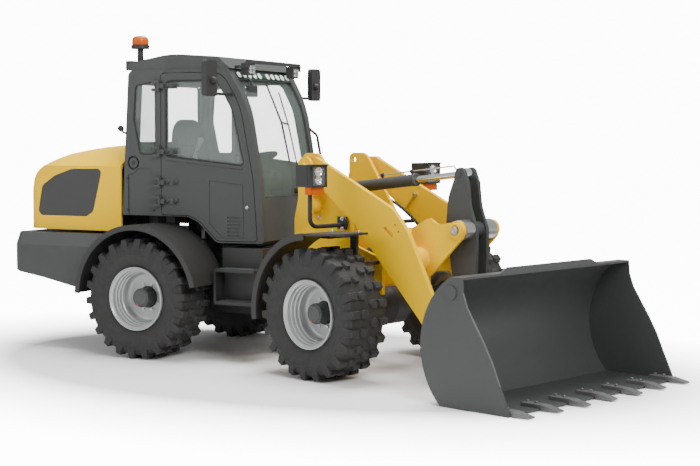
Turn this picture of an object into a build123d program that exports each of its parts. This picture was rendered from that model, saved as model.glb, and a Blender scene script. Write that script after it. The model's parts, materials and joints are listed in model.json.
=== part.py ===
from build123d import *
import os
from math import atan, atan2, cos, degrees, hypot, pi, radians, sin

# Compact articulated wheel loader, millimetres, +X forward, +Y left, +Z up.
# Side outlines are (x, z) points in the frame that carries the piece; x = 0 is the steering pivot.

# Machine layout
wheelbase = 2116
track = 1512
steer_angle = -17
pivot_x = -370
pivot_y = 462
half_base = wheelbase / 2
half_track = track / 2
seat_gap = 0.3
pin_gap = 0.1
washer_gap = 1

# Wheels
tyre_radius = 505
tyre_width = 400
lug_count = 22
lug_depth = 29
lug_taper = 4
lug_height = 108
bead_radius = 240
bead_width = 300
rim_lip_radius = 266
rim_wall = 9
rim_lip = 18
disc_thickness = 16
disc_offset = -25
hub_hole_radius = 92
hub_radius = 78
hub_flange_radius = 150
spindle_radius = 45

# Rear chassis
chassis_half_width = 280
chassis_plate = 25
chassis_top = 930
chassis_rear_x = -2080
chassis_front_x = -230
axle_pad_top = 622
pivot_pin_radius = 32
pivot_tongue = 60
pivot_fork = 30
pivot_boss_radius = 85
upper_pivot_z = 800
lower_pivot_z = 430

# Counterweight and hood
weight_half_width = 750
weight_rear_x = -2530
weight_front_x = -1530
weight_bottom = 549
weight_crease = 905
weight_top = 1016
hood_wall = 22
hood_half_width = 620
hood_front_x = -1428
hood_rear_x = -2470
hood_bottom = 1040
hood_hinge_x = -1490
hood_hinge_z = 1710
hood_hinge_y = 200
hinge_pin_radius = 12

# Cab
cab_wall = 45
cab_rear_half = 620
cab_front_half = 475
cab_taper_x = -960
cab_rear_x = -1410
cab_front_x = -75
cab_floor_z = 968
cab_over_fender = 61
cab_top_z = 2420
door_gap = 6
door_rear_x = -1000
door_hinge_x = -1010
door_hinge_out = 24
door_knuckle_radius = 14
door_pin_radius = 7
glass_thickness = 6
glass_inset = 16
screen_half_width = 430
screen_low = 1345
screen_high = 2330
panel_recess = 8
filler_place = (-1291, 1632)
filler_radius = 44
filler_recess = 22
louvre_count = 6
louvre_low = (-341, 1030)
louvre_pitch = 30
louvre_length = 120
louvre_height = 14
louvre_depth = 8
groove_width = 6
groove_depth = 4
grab_rail_radius = 12

# Mirrors
mirror_x = -366
mirror_reach = 243
mirror_z = 2325

# Fenders and steps
fender_radius = 618
fender_thickness = 18
fender_inner_y = 500
fender_outer_y = 952
step_rear_x = -430
step_front_x = -40
step_outer_y = 700
cab_side_z = tyre_radius + fender_radius + cab_over_fender

# Front frame, in its own turned frame
arm_pin = (490, 1610)
arm_pin_radius = 34
tower_half_width = 270
tower_plate = 30
cheek_half_width = 410
cheek_plate = 25
arm_half_width = 345
arm_plate = 40
hitch_pin = (1960, 300)
hitch_pin_radius = 30
hitch_collar_radius = 70
cross_tube = (1560, 910)
cross_tube_radius = 100
crank_pin = (1920, 1150)
crank_pin_radius = 32
crank_boss_radius = 62
crank_spacer_radius = 78
crank_half_width = 62
crank_plate = 30
crank_bracket_half_width = 200
crank_bracket_plate = 24
crank_bracket_boss = 8
tilt_eye = (1827, 1570)
tilt_base = (500, 1424)
tilt_barrel_length = 830
tilt_barrel_radius = 47
tilt_rod_radius = 26
tilt_eye_width = 90
link_rear = (1896, 480)
link_front = (1788, 546)
link_width = 90
link_pin_radius = 25
link_collar_radius = 64
link_collar_length = 64
lift_base = (420, 720)
lift_eye = (1490, 1110)
lift_half_width = 155
lift_barrel_length = 900
lift_barrel_radius = 50
lift_rod_radius = 25
cylinder_eye_radius = 55
cylinder_pin_radius = 24
lift_eye_width = 60

# Bucket and quick hitch
bucket_half_width = 1000
bucket_wall = 16
bucket_floor_z = 4
bucket_top_z = 900
bucket_back_x = 2277
bucket_lip_x = 3058
tooth_count = 7
tooth_tip_x = 3200
tooth_width = 74
hitch_face_x = 2230
hitch_half_width = 265
hitch_plate = 30
hitch_ear_half_width = 163
hitch_ear_plate = 20

# Steering cylinder, rear frame ends first
steer_base = (-560, 110)
steer_eye = (150, 170)
steer_z = 610
steer_barrel_length = 470
steer_barrel_radius = 38
steer_rod_radius = 20
steer_eye_radius = 36

# Headlamps on bent tubes
lamp_x = 740
lamp_depth = 170
lamp_half_track = 667
lamp_width = 160
lamp_low = 1462
lamp_height = 172
lamp_tube_radius = 17

rear = Plane(origin=(pivot_x, pivot_y, 0))
front = Plane(
    origin=(pivot_x, pivot_y, 0),
    x_dir=(cos(radians(steer_angle)), sin(radians(steer_angle)), 0),
    z_dir=(0, 0, 1),
)
os.makedirs("parts", exist_ok=True)


def side(frame, y):
    """Sketch plane with x forward and y up, at a place across the machine."""
    return Plane(frame.from_local_coords((0, y, 0)), x_dir=frame.x_dir, z_dir=-frame.y_dir)


def across(frame, x, z=0):
    """Sketch plane with x to the left and y up, at a place along the machine."""
    return Plane(frame.from_local_coords((x, 0, z)), x_dir=frame.y_dir, z_dir=frame.x_dir)


def plate(plane, points, thickness, radius=0, mode=Mode.ADD):
    """Flat plate of an outline, its thickness shared by both sides of the plane."""
    with BuildSketch(plane) as outline:
        with BuildLine():
            FilletPolyline(*points, radius=radius, close=True)
        make_face()
    extrude(outline.sketch, amount=thickness / 2, both=True, mode=mode)


def rod(plane, centre, radius, length, mode=Mode.ADD):
    """Round bar through a point of the plane, its length shared by both sides."""
    with BuildSketch(plane) as disc:
        with Locations(centre):
            Circle(radius)
    extrude(disc.sketch, amount=length / 2, both=True, mode=mode)


def block(frame, low, high, mode=Mode.ADD):
    """Straight block between two opposite corners."""
    with BuildSketch(frame.offset(low[2])) as base:
        with Locations(((low[0] + high[0]) / 2, (low[1] + high[1]) / 2)):
            Rectangle(high[0] - low[0], high[1] - low[1])
    extrude(base.sketch, amount=high[2] - low[2], mode=mode)


def turned(frame, x, z, profile, mode=Mode.ADD):
    """Body of revolution about a crosswise axis; profile points are (across, radius)."""
    plane = across(frame, x, z)
    with BuildSketch(plane) as section:
        with BuildLine():
            Polyline(*profile, close=True)
        make_face()
    revolve(section.sketch, axis=Axis(plane.origin, plane.x_dir), mode=mode)


def span(way, near, far):
    """Low and high places across the machine between two distances from its middle."""
    return sorted((way * near, way * far))


def flat_ring(plane, section, sides):
    """Flat-sided ring about a plane's normal; section points are (along the normal, radius)."""
    turns = [2 * pi * number / sides for number in range(sides + 1)]
    rings = [
        [plane.from_local_coords((radius * cos(turn), radius * sin(turn), place)) for turn in turns]
        for place, radius in section
    ]
    faces = []
    for low, high in zip(rings, rings[1:] + rings[:1]):
        for number in range(sides):
            corners = [low[number], low[number + 1], high[number + 1], high[number]]
            faces.append(Face(Wire.make_polygon(corners)))
    return Solid(Shell(faces))


def arc_band(plane, centre, inner, outer, start, sweep, width, mode=Mode.ADD):
    """Curved strip between two radii, from a start angle through a sweep."""
    with BuildSketch(plane) as strip:
        with BuildLine():
            out_edge = CenterArc(centre, outer, start, sweep)
            in_edge = CenterArc(centre, inner, start, sweep)
            Line(out_edge @ 0, in_edge @ 0)
            Line(out_edge @ 1, in_edge @ 1)
        make_face()
    extrude(strip.sketch, amount=width / 2, both=True, mode=mode)


def write(piece, name):
    """Label a finished piece and store it."""
    piece.part.label = name
    export_step(piece.part, f"parts/{name}.step")


def angle_of(start, end):
    return degrees(atan2(end[1] - start[1], end[0] - start[0]))


def distance(start, end):
    return hypot(end[0] - start[0], end[1] - start[1])


def along(start, end, length):
    """Point on the line between two side points, at a length from the first."""
    turn = radians(angle_of(start, end))
    return (start[0] + length * cos(turn), start[1] + length * sin(turn))


def barrel_between(plane, start, end, first, last, radius, mode=Mode.ADD):
    """Round bar along the line from start to end, between two lengths from start."""
    turn = radians(angle_of(start, end))
    direction = plane.x_dir * cos(turn) + plane.y_dir * sin(turn)
    low = along(start, end, first)
    with BuildSketch(Plane(plane.from_local_coords((low[0], low[1], 0)), z_dir=direction)) as ring:
        Circle(radius)
    extrude(ring.sketch, amount=last - first, mode=mode)


# Rear chassis: two side plates, cross walls, pivot forks with their pins and the hood's hinge posts
def fork(z):
    """Pair of pivot plates about the front tongue."""
    reach = pivot_tongue / 2 + 1 + pivot_fork / 2
    for level in (z - reach, z + reach):
        plate(
            rear.offset(level),
            [(chassis_front_x, -190), (chassis_front_x, 190),
             (0, pivot_boss_radius), (0, -pivot_boss_radius)],
            pivot_fork,
        )
        rod(rear.offset(level), (0, 0), pivot_boss_radius, pivot_fork)
    rod(rear.offset(z), (0, 0), pivot_pin_radius, 2 * reach + pivot_fork)


with BuildPart() as rear_chassis:
    for y in (-chassis_half_width, chassis_half_width):
        plate(
            side(rear, y),
            [
                (chassis_rear_x, 640), (chassis_rear_x, chassis_top), (chassis_front_x, chassis_top),
                (chassis_front_x, 350), (-680, 350), (-850, axle_pad_top), (-1265, axle_pad_top),
                (-1330, 560), (-1950, 560),
            ],
            chassis_plate,
        )
    inner = chassis_half_width - chassis_plate / 2
    for x, low in ((chassis_front_x, 350), (-700, 420), (chassis_rear_x, 640)):
        block(rear, (x, -inner, low), (x + chassis_plate, inner, chassis_top))
    for z in (upper_pivot_z, lower_pivot_z):
        fork(z)
    block(rear, (hood_hinge_x - 30, -inner, chassis_top - 80), (hood_hinge_x + 30, inner, chassis_top))
    for y in (-hood_hinge_y, hood_hinge_y):
        plate(
            side(rear, y),
            [(hood_hinge_x - 28, chassis_top - 40), (hood_hinge_x + 28, chassis_top - 40),
             (hood_hinge_x + 18, hood_hinge_z + 18), (hood_hinge_x - 18, hood_hinge_z + 18)],
            chassis_plate,
        )
    rod(side(rear, 0), (hood_hinge_x, hood_hinge_z), hinge_pin_radius, 2 * hood_hinge_y + 140)
    low_y, high_y = steer_base[1] - 40, steer_base[1] + 40
    back_x, tip_x = steer_base[0] - 80, steer_base[0] + 20
    block(rear, (back_x, low_y, steer_z - 70), (tip_x, high_y, steer_z - 31))
    block(rear, (back_x, low_y, steer_z + 31), (tip_x, high_y, steer_z + 70))
    block(rear, (-700 + chassis_plate, low_y, steer_z - 70), (back_x, high_y, steer_z + 70))
    block(
        rear, (chassis_front_x - 5, low_y - 40, steer_z - 60),
        (chassis_front_x + chassis_plate + 5, high_y + 85, steer_z + 60), Mode.SUBTRACT,
    )
    rod(rear.offset(steer_z), steer_base, 15, 140)

# Counterweight: tapered upper edge, sloped underside, arched beside the wheels, open over the chassis
with BuildPart() as counterweight:
    with BuildSketch(rear.offset(weight_bottom)) as weight_plan:
        with Locations(((weight_rear_x + weight_front_x) / 2, 0)):
            RectangleRounded(weight_front_x - weight_rear_x, 2 * weight_half_width, 90)
    extrude(weight_plan.sketch, amount=weight_crease - weight_bottom)
    with BuildSketch(rear.offset(weight_crease)) as weight_cap:
        with Locations(((weight_rear_x + weight_front_x) / 2, 0)):
            RectangleRounded(weight_front_x - weight_rear_x, 2 * weight_half_width, 90)
    extrude(weight_cap.sketch, amount=weight_top - weight_crease, taper=18)
    block(
        rear, (chassis_rear_x - seat_gap, -330, 0), (weight_front_x + 10, 330, weight_top + 10),
        Mode.SUBTRACT,
    )
    plate(
        side(rear, 0),
        [(weight_rear_x - 10, 690), (weight_rear_x + 90, 660), (-2176, 619), (-1820, weight_bottom),
         (-1820, 0), (weight_rear_x - 10, 0)],
        4 * weight_half_width,
        mode=Mode.SUBTRACT,
    )
    rod(side(rear, 0), (-half_base, tyre_radius), fender_radius + 30, 4 * weight_half_width, Mode.SUBTRACT)
    block(rear, (weight_rear_x - 10, -150, 690), (weight_rear_x + 60, 150, 850), Mode.SUBTRACT)

# Tow coupling: jaw with an upright pin hole
tow_bore_radius = 16
with BuildPart() as tow_coupling:
    jaw_front_x = weight_rear_x + 60 - seat_gap
    plate(
        side(rear, 0),
        [(jaw_front_x, 700), (jaw_front_x, 840), (jaw_front_x - 50, 840), (jaw_front_x - 130, 815),
         (jaw_front_x - 130, 725), (jaw_front_x - 50, 700)],
        130,
        radius=8,
    )
    block(rear, (jaw_front_x - 140, -75, 745), (jaw_front_x - 35, 75, 795), Mode.SUBTRACT)
    rod(rear.offset(770), (jaw_front_x - 85, 0), tow_bore_radius, 200, Mode.SUBTRACT)

# Engine: one plain block with a sump between the chassis plates
with BuildPart() as engine_block:
    block(rear, (-2040, -230, 760), (-1545, 230, 1400))
    block(rear, (-1960, -160, 640), (-1560, 160, 760))
    for x in (-1960, -1600):
        block(rear, (x, -inner + seat_gap, 840), (x + 70, inner - seat_gap, 900))


# Axles: banjo housing, tubes, flanges and spindles, with pads under the chassis
def axle(frame, x, pad_half_width, pad_top):
    for way in (-1, 1):
        turned(
            frame, x, tyre_radius,
            [(0, 0), (0, 150), (way * 70, 150), (way * 150, 85), (way * 430, 78), (way * 450, 118),
             (way * 560, 118), (way * 560, spindle_radius), (way * 690, spindle_radius), (way * 690, 0)],
        )
        block(
            frame,
            (x - 95, way * pad_half_width - 45, tyre_radius + 40),
            (x + 95, way * pad_half_width + 45, pad_top),
        )


with BuildPart() as rear_axle:
    axle(rear, -half_base, chassis_half_width, axle_pad_top)


# Wheels: tyre, stepped rim with inset disc, and hub with its cap
def wheel_profile(way, points):
    """Turn (outboard, radius) points into places across the machine."""
    return [(way * (half_track + w), r) for w, r in points]


def wheel_plane(frame, x, y):
    """Plane across the axle, its normal to the left."""
    return Plane(frame.from_local_coords((x, y, tyre_radius)), x_dir=frame.x_dir, z_dir=frame.y_dir)


def lug(frame, x, way, lug_side, angle):
    """One tread lug, drawn on the tread's face and tapered outwards."""
    turn = radians(angle)
    out = frame.x_dir * cos(turn) + frame.z_dir * sin(turn)
    centre = frame.from_local_coords((x, way * half_track, tyre_radius))
    face = Plane(centre + out * (tyre_radius - lug_height), x_dir=frame.y_dir, z_dir=out)
    with BuildSketch(face) as shape:
        with BuildLine():
            Polyline(*[(lug_side * w, lug_side * t) for w, t in lug_outline], close=True)
        make_face()
    return extrude(shape.sketch, amount=lug_height - 1, taper=lug_taper, mode=Mode.PRIVATE)


half_bead = bead_width / 2
half_tyre = tyre_width / 2
tread_radius = tyre_radius - lug_depth
bore_radius = (bead_radius + seat_gap) / cos(pi / lug_count)
tyre_section = [
    (8 - half_bead, bore_radius), (-half_tyre, 390), (36 - half_tyre, tread_radius),
    (half_tyre - 36, tread_radius), (half_tyre, 390), (half_bead - 8, bore_radius),
]
lug_outline = [(half_tyre - 3, -38), (half_tyre - 3, 38), (2, 38), (58, -38)]
rim_section = [
    (half_bead + 5, rim_lip_radius), (half_bead + 5 + rim_lip, rim_lip_radius),
    (half_bead + 5 + rim_lip, rim_lip_radius - rim_wall), (half_bead + 8, bead_radius - rim_wall),
    (70, bead_radius - rim_wall - 4), (55, bead_radius - 28),
    (disc_offset + disc_thickness, bead_radius - 30), (disc_offset + disc_thickness, hub_hole_radius),
    (disc_offset, hub_hole_radius), (disc_offset, bead_radius - 34),
    (-90, bead_radius - rim_wall - 2), (-half_bead - 8, bead_radius - rim_wall),
    (-half_bead - 5 - rim_lip, rim_lip_radius - rim_wall), (-half_bead - 5 - rim_lip, rim_lip_radius),
    (-half_bead - 5, rim_lip_radius), (-half_bead - 3, bead_radius), (half_bead + 3, bead_radius),
]
hub_section = [
    (-128, spindle_radius + pin_gap), (-128, 128), (-60, 128), (-60, hub_flange_radius),
    (disc_offset - seat_gap, hub_flange_radius), (disc_offset - seat_gap, hub_radius + 6), (60, hub_radius),
    (96, hub_radius), (104, hub_radius - 14), (104, 0), (0, 0), (0, spindle_radius + pin_gap),
]
for corner, frame, x, way in (
    ("front_right", front, half_base, -1), ("front_left", front, half_base, 1),
    ("rear_right", rear, -half_base, -1), ("rear_left", rear, -half_base, 1),
):
    with BuildPart() as tyre:
        add(flat_ring(wheel_plane(frame, x, way * half_track), tyre_section, lug_count))
        lugs = []
        for lug_side in (-1, 1):
            for number in range(lug_count):
                lugs.append(lug(frame, x, way, lug_side, 360 / lug_count * (number + 0.5 + lug_side / 4)))
        add(lugs)
    write(tyre, f"{corner}_tyre")
    with BuildPart() as rim:
        turned(frame, x, tyre_radius, wheel_profile(way, rim_section))
    write(rim, f"{corner}_rim")
    with BuildPart() as hub:
        turned(frame, x, tyre_radius, wheel_profile(way, hub_section))
    write(hub, f"{corner}_hub")

# Rear fenders: curved strip with an outer lip, carried by brackets on the chassis
fender_y = (fender_inner_y + fender_outer_y) / 2
fender_width = fender_outer_y - fender_inner_y
with BuildPart() as rear_fenders:
    for way in (-1, 1):
        arc_band(
            side(rear, way * fender_y), (-half_base, tyre_radius),
            fender_radius - fender_thickness, fender_radius, 12, 166, fender_width,
        )
        arc_band(
            side(rear, way * (fender_outer_y - 10)), (-half_base, tyre_radius),
            fender_radius - 46, fender_radius, 12, 166, 20,
        )
        reach = chassis_half_width + chassis_plate / 2 + seat_gap
        low_y, high_y = span(way, reach, fender_inner_y + 40)
        for x in (-half_base - 430, -half_base + 330):
            top = tyre_radius + ((fender_radius - fender_thickness / 2) ** 2 - 380 ** 2) ** 0.5
            block(rear, (x, low_y, chassis_top - 50), (x + 100, high_y, top))

# Access steps: a cheek, back plate and two treads on each side
with BuildPart() as access_steps:
    for way in (-1, 1):
        near, far = span(way, chassis_half_width + chassis_plate / 2 + seat_gap, 560)
        block(rear, (step_rear_x, near, 470), (step_front_x, far, 930))
        near, far = span(way, 560, step_outer_y)
        block(rear, (step_rear_x, near, 740), (step_front_x, far, 765))
        block(rear, (step_rear_x, near, 470), (step_front_x, far, 500))
        block(rear, (step_rear_x, near, 500), (step_rear_x + 20, far, 740))


# Cab: tapered plan, windscreen side curving into the roof
cab_side_points = [
    (cab_rear_x, cab_side_z), (cab_rear_x + 75, cab_top_z), (-397, cab_top_z), (-220, 2125), (-105, 1500),
    (cab_front_x, cab_floor_z), (-500, cab_floor_z), (-660, cab_side_z - 48), (-760, cab_side_z),
]
cab_side_radii = [0, 60, 0, 900, 0, 30, 60, 60, 60]
cab_plan = [
    (cab_rear_x - 100, -cab_rear_half), (cab_taper_x, -cab_rear_half), (cab_front_x + 30, -cab_front_half),
    (cab_front_x + 30, cab_front_half), (cab_taper_x, cab_rear_half), (cab_rear_x - 100, cab_rear_half),
]


def cab_form(inset):
    """Outer cab volume, drawn in by an inset."""
    with BuildPart() as form:
        with BuildSketch(side(rear, 0)) as outline:
            with BuildLine():
                FilletPolyline(*cab_side_points, radius=cab_side_radii, close=True)
            make_face()
            if inset:
                offset(amount=-inset, kind=Kind.INTERSECTION, mode=Mode.REPLACE)
        extrude(outline.sketch, amount=2 * cab_rear_half, both=True)
        with BuildSketch(rear) as plan:
            with BuildLine():
                Polyline(*cab_plan, close=True)
            make_face()
            if inset:
                offset(amount=-inset, kind=Kind.INTERSECTION, mode=Mode.REPLACE)
        extrude(plan.sketch, amount=cab_top_z + 100, mode=Mode.INTERSECT)
    return form.part


door_outline = [
    (door_rear_x, cab_side_z + 12), (door_rear_x, 2385), (-445, 2385), (-283, 2110), (-173, 1500),
    (-137, cab_floor_z + 17), (-490, cab_floor_z + 17), (-650, cab_side_z - 36), (-750, cab_side_z + 12),
]
door_radii = [20, 40, 160, 700, 0, 30, 60, 60, 40]
door_depth = cab_rear_half - cab_front_half + 2 * cab_wall
door_window = [
    (-955, 1690), (-955, 2325), (-490, 2325), (-350, 2080), (-247, 1610),
]
door_window_radii = [30, 50, 120, 500, 30]
side_window = [(-1290, 2000), (-1265, 2290), (-1060, 2325), (-1060, 1700), (-1225, 1700)]
rear_window_half = 470
rear_window_low = 1800
rear_window_high = 2310
hinge_levels = (1309, 1470, 1728, 2280)
hinge_height = 40
rear_panel = [
    (-1348, 1185), (-1348, 1528), (-1290, 1545), (-1240, 1585), (-1110, 1585), (-1092, 1560), (-1092, 1185),
]
with BuildPart() as cab_body:
    add(cab_form(0))
    add(cab_form(cab_wall), mode=Mode.SUBTRACT)
    for way in (-1, 1):
        with BuildSketch(side(rear, way * cab_rear_half)) as door_hole:
            with BuildLine():
                FilletPolyline(*door_outline, radius=door_radii, close=True)
            make_face()
            offset(amount=door_gap, kind=Kind.INTERSECTION, mode=Mode.REPLACE)
        extrude(door_hole.sketch, amount=door_depth, both=True, mode=Mode.SUBTRACT)
        plate(side(rear, way * cab_rear_half), side_window, 4 * cab_wall, 40, Mode.SUBTRACT)
        plate(side(rear, way * cab_rear_half), rear_panel, 2 * panel_recess, 14, Mode.SUBTRACT)
    rod(side(rear, -cab_rear_half), filler_place, filler_radius + 16, 2 * filler_recess, Mode.SUBTRACT)
    rod(side(rear, 12 - cab_rear_half), filler_place, filler_radius, 2 * (filler_recess - 12))
    block(
        rear, (-445, -screen_half_width, screen_low), (cab_front_x + 60, screen_half_width, screen_high),
        Mode.SUBTRACT,
    )
    block(
        rear, (cab_rear_x - 50, -rear_window_half, rear_window_low),
        (cab_rear_x + 200, rear_window_half, rear_window_high), Mode.SUBTRACT,
    )
    for way in (-1, 1):
        hinge_y = way * (cab_rear_half + door_hinge_out)
        wall_y = way * (cab_rear_half - 5)
        leaf_y = way * (cab_rear_half + 2)
        outer_y = way * (cab_rear_half + door_hinge_out + 12)
        for z in hinge_levels:
            rod(rear.offset(z), (door_hinge_x, hinge_y), door_pin_radius, hinge_height + 50)
            for level in (z - hinge_height / 2 - 24, z + hinge_height / 2 + 1):
                block(rear, (door_hinge_x - 60, min(wall_y, outer_y), level),
                      (door_hinge_x - 2, max(wall_y, outer_y), level + 23))
                block(rear, (door_hinge_x - 10, min(leaf_y, outer_y), level),
                      (door_hinge_x + 12, max(leaf_y, outer_y), level + 23))
    for x in (-1330, -1150):
        for way in (-1, 1):
            block(
                rear, (x, way * 300 - 40, chassis_top + seat_gap), (x + 90, way * 300 + 40, cab_side_z + 5),
            )
    block(
        rear, (-420, -chassis_half_width, chassis_top + seat_gap),
        (-260, chassis_half_width, cab_floor_z + 5),
    )

# Roof cap with a crowned top
roof_profile = [
    (-1362, cab_top_z + seat_gap), (-1352, 2478), (-900, 2548), (-485, 2520), (-377, cab_top_z + seat_gap),
]
with BuildPart() as cab_roof:
    plate(side(rear, 0), roof_profile, 2 * cab_rear_half, [0, 30, 900, 60, 0])
    with BuildSketch(rear) as roof_plan:
        with BuildLine():
            FilletPolyline(
                (-1370, -cab_rear_half + 8), (cab_taper_x, -cab_rear_half + 8), (-365, -cab_front_half - 42),
                (-365, cab_front_half + 42), (cab_taper_x, cab_rear_half - 8), (-1370, cab_rear_half - 8),
                radius=[60, 0, 60, 60, 0, 60], close=True,
            )
        make_face()
    extrude(roof_plan.sketch, amount=3000, mode=Mode.INTERSECT)

# Fixed panes: windscreen, rear window and the two quarter windows
with BuildPart() as cab_glass:
    with BuildSketch(side(rear, 0)) as pane:
        with BuildLine():
            FilletPolyline(*cab_side_points, radius=cab_side_radii, close=True)
        make_face()
        offset(amount=-glass_inset, kind=Kind.INTERSECTION, mode=Mode.REPLACE)
    with BuildSketch(side(rear, 0)) as pane_back:
        with BuildLine():
            FilletPolyline(*cab_side_points, radius=cab_side_radii, close=True)
        make_face()
        offset(amount=-glass_inset - glass_thickness, kind=Kind.INTERSECTION, mode=Mode.REPLACE)
    extrude(pane.sketch, amount=screen_half_width - seat_gap, both=True)
    extrude(pane_back.sketch, amount=screen_half_width, both=True, mode=Mode.SUBTRACT)
    block(
        rear, (-445 + seat_gap, -screen_half_width, screen_low + seat_gap),
        (cab_front_x + 60, screen_half_width, screen_high - seat_gap), Mode.INTERSECT,
    )
    for way in (-1, 1):
        with BuildSketch(side(rear, way * (cab_rear_half - glass_inset))) as quarter:
            with BuildLine():
                FilletPolyline(*side_window, radius=40, close=True)
            make_face()
            offset(amount=-seat_gap, mode=Mode.REPLACE)
        extrude(quarter.sketch, amount=glass_thickness / 2, both=True)
    with BuildSketch(across(rear, cab_rear_x + 66)) as rear_pane:
        with Locations((0, (rear_window_low + rear_window_high) / 2)):
            Rectangle(2 * rear_window_half - 2 * seat_gap, rear_window_high - rear_window_low - 2 * seat_gap)
    extrude(rear_pane.sketch, amount=glass_thickness)


side_taper = (cab_rear_half - cab_front_half) / (cab_front_x + 30 - cab_taper_x)


def door_face(x):
    """Distance of the tapered cab side from the middle, at a place along it."""
    return cab_rear_half - side_taper * (x - cab_taper_x)


def door_skin(way):
    """Plane on the tapered door face, its normal outwards and its y up on the right, down on the left."""
    turn = atan(side_taper)
    return Plane(
        rear.from_local_coords((cab_taper_x, way * cab_rear_half, 0)),
        x_dir=(cos(turn), -way * sin(turn), 0), z_dir=(sin(turn), way * cos(turn), 0),
    )


def on_skin(way, point):
    """A side point (x, z) in the door skin's own coordinates."""
    return ((point[0] - cab_taper_x) / cos(atan(side_taper)), -way * point[1])


# Doors: as thick as the wall, window cut, louvres, knuckles on the hinge pins, mirror on an arm
door_groove = [(-562, 1490), (-258, 1454), (-248, 1009), (-440, 1005), (-560, 1126)]
for name, way in (("right", -1), ("left", 1)):
    with BuildPart() as door:
        with BuildSketch(rear.offset(900)) as slab:
            with BuildLine():
                Polyline(
                    (cab_taper_x - 100, way * cab_rear_half), (cab_taper_x, way * cab_rear_half),
                    (cab_front_x + 30, way * cab_front_half),
                    (cab_front_x + 30, way * (cab_front_half - cab_wall)),
                    (cab_taper_x, way * (cab_rear_half - cab_wall)),
                    (cab_taper_x - 100, way * (cab_rear_half - cab_wall)), close=True,
                )
            make_face()
        extrude(slab.sketch, amount=1600)
        plate(side(rear, way * cab_rear_half), door_outline, 2 * door_depth, door_radii, Mode.INTERSECT)
        plate(side(rear, way * cab_rear_half), door_window, 2 * door_depth, door_window_radii, Mode.SUBTRACT)
        with BuildSketch(door_skin(way)) as slots:
            for number in range(louvre_count):
                slot_place = (louvre_low[0], louvre_low[1] + number * louvre_pitch)
                with Locations(on_skin(way, slot_place)):
                    SlotOverall(louvre_length, louvre_height)
        extrude(slots.sketch, amount=-louvre_depth, mode=Mode.SUBTRACT)
        with BuildSketch(door_skin(way)) as groove:
            with BuildLine():
                Polyline(*[on_skin(way, point) for point in door_groove], close=True)
            make_face()
            offset(amount=-groove_width, kind=Kind.INTERSECTION, mode=Mode.SUBTRACT)
        extrude(groove.sketch, amount=-groove_depth, mode=Mode.SUBTRACT)
        hinge_y = way * (cab_rear_half + door_hinge_out)
        hinge_out = cab_rear_half + door_hinge_out
        for z in hinge_levels:
            low, high = z - hinge_height / 2, z + hinge_height / 2
            rod(rear.offset(z), (door_hinge_x, hinge_y), door_knuckle_radius, hinge_height)
            near, far = span(way, cab_rear_half + 2, hinge_out)
            block(rear, (door_hinge_x, near, low), (door_hinge_x + 50, far, high))
            near, far = span(way, cab_rear_half - 20, hinge_out)
            block(rear, (door_rear_x + 2, near, low), (door_hinge_x + 50, far, high))
            rod(rear.offset(z), (door_hinge_x, hinge_y), door_pin_radius + pin_gap, 80, Mode.SUBTRACT)
    write(door, f"{name}_door")
    with BuildPart() as door_glass:
        with BuildSketch(rear.offset(900)) as sheet:
            with BuildLine():
                Polyline(
                    (cab_taper_x, way * (cab_rear_half - glass_inset)),
                    (cab_front_x + 30, way * (cab_front_half - glass_inset)),
                    (cab_front_x + 30, way * (cab_front_half - glass_inset - glass_thickness)),
                    (cab_taper_x, way * (cab_rear_half - glass_inset - glass_thickness)), close=True,
                )
            make_face()
        extrude(sheet.sketch, amount=1600)
        with BuildSketch(side(rear, way * cab_rear_half)) as opening:
            with BuildLine():
                FilletPolyline(*door_window, radius=door_window_radii, close=True)
            make_face()
            offset(amount=-seat_gap, mode=Mode.REPLACE)
        extrude(opening.sketch, amount=door_depth, both=True, mode=Mode.INTERSECT)
    write(door_glass, f"{name}_door_glass")
    with BuildPart() as mirror:
        mirror_y = way * (cab_rear_half + mirror_reach)
        with BuildSketch(across(rear, mirror_x - 6)) as mirror_face:
            with Locations((mirror_y, mirror_z)):
                RectangleRounded(165, 290, 30)
        extrude(mirror_face.sketch, amount=45)
        foot_y = way * (door_face(mirror_x) + seat_gap)
        low, high = mirror_z - 135, mirror_z - 113
        block(rear, (mirror_x, min(foot_y, mirror_y), low), (mirror_x + 22, max(foot_y, mirror_y), high))
    write(mirror, f"{name}_mirror")

# Operator's seat with base, console and steering column
with BuildPart() as operator_seat:
    with BuildSketch(side(rear, 0)) as cushion:
        with BuildLine():
            FilletPolyline(
                (-1150, 1475), (-680, 1475), (-660, 1590), (-1020, 1585),
                (-1110, 2030), (-1210, 2030), (-1190, 1500),
                radius=[20, 40, 40, 30, 40, 40, 20], close=True,
            )
        make_face()
    extrude(cushion.sketch, amount=245, both=True)
with BuildPart() as cab_console:
    block(rear, (-1140, -190, cab_side_z + cab_wall + seat_gap), (-720, 190, 1475 - seat_gap))
    block(rear, (-1100, -420, cab_side_z + cab_wall + seat_gap), (-800, -270, 1640))
    barrel_between(side(rear, 0), (-250, cab_floor_z + cab_wall + 40), (-440, 1650), 0, 640, 42)
    block(rear, (-300, -70, cab_floor_z + cab_wall + seat_gap), (-180, 70, cab_floor_z + cab_wall + 60))
    turn = radians(angle_of((-250, cab_floor_z + cab_wall + 40), (-440, 1650)))
    grip_plane = Plane(
        side(rear, 0).from_local_coords((-440, 1650, 0)),
        z_dir=side(rear, 0).x_dir * cos(turn) + side(rear, 0).y_dir * sin(turn),
    )
    with BuildSketch(grip_plane) as grip:
        Circle(190)
        Circle(164, mode=Mode.SUBTRACT)
        Rectangle(370, 36)
    extrude(grip.sketch, amount=24)

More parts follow.
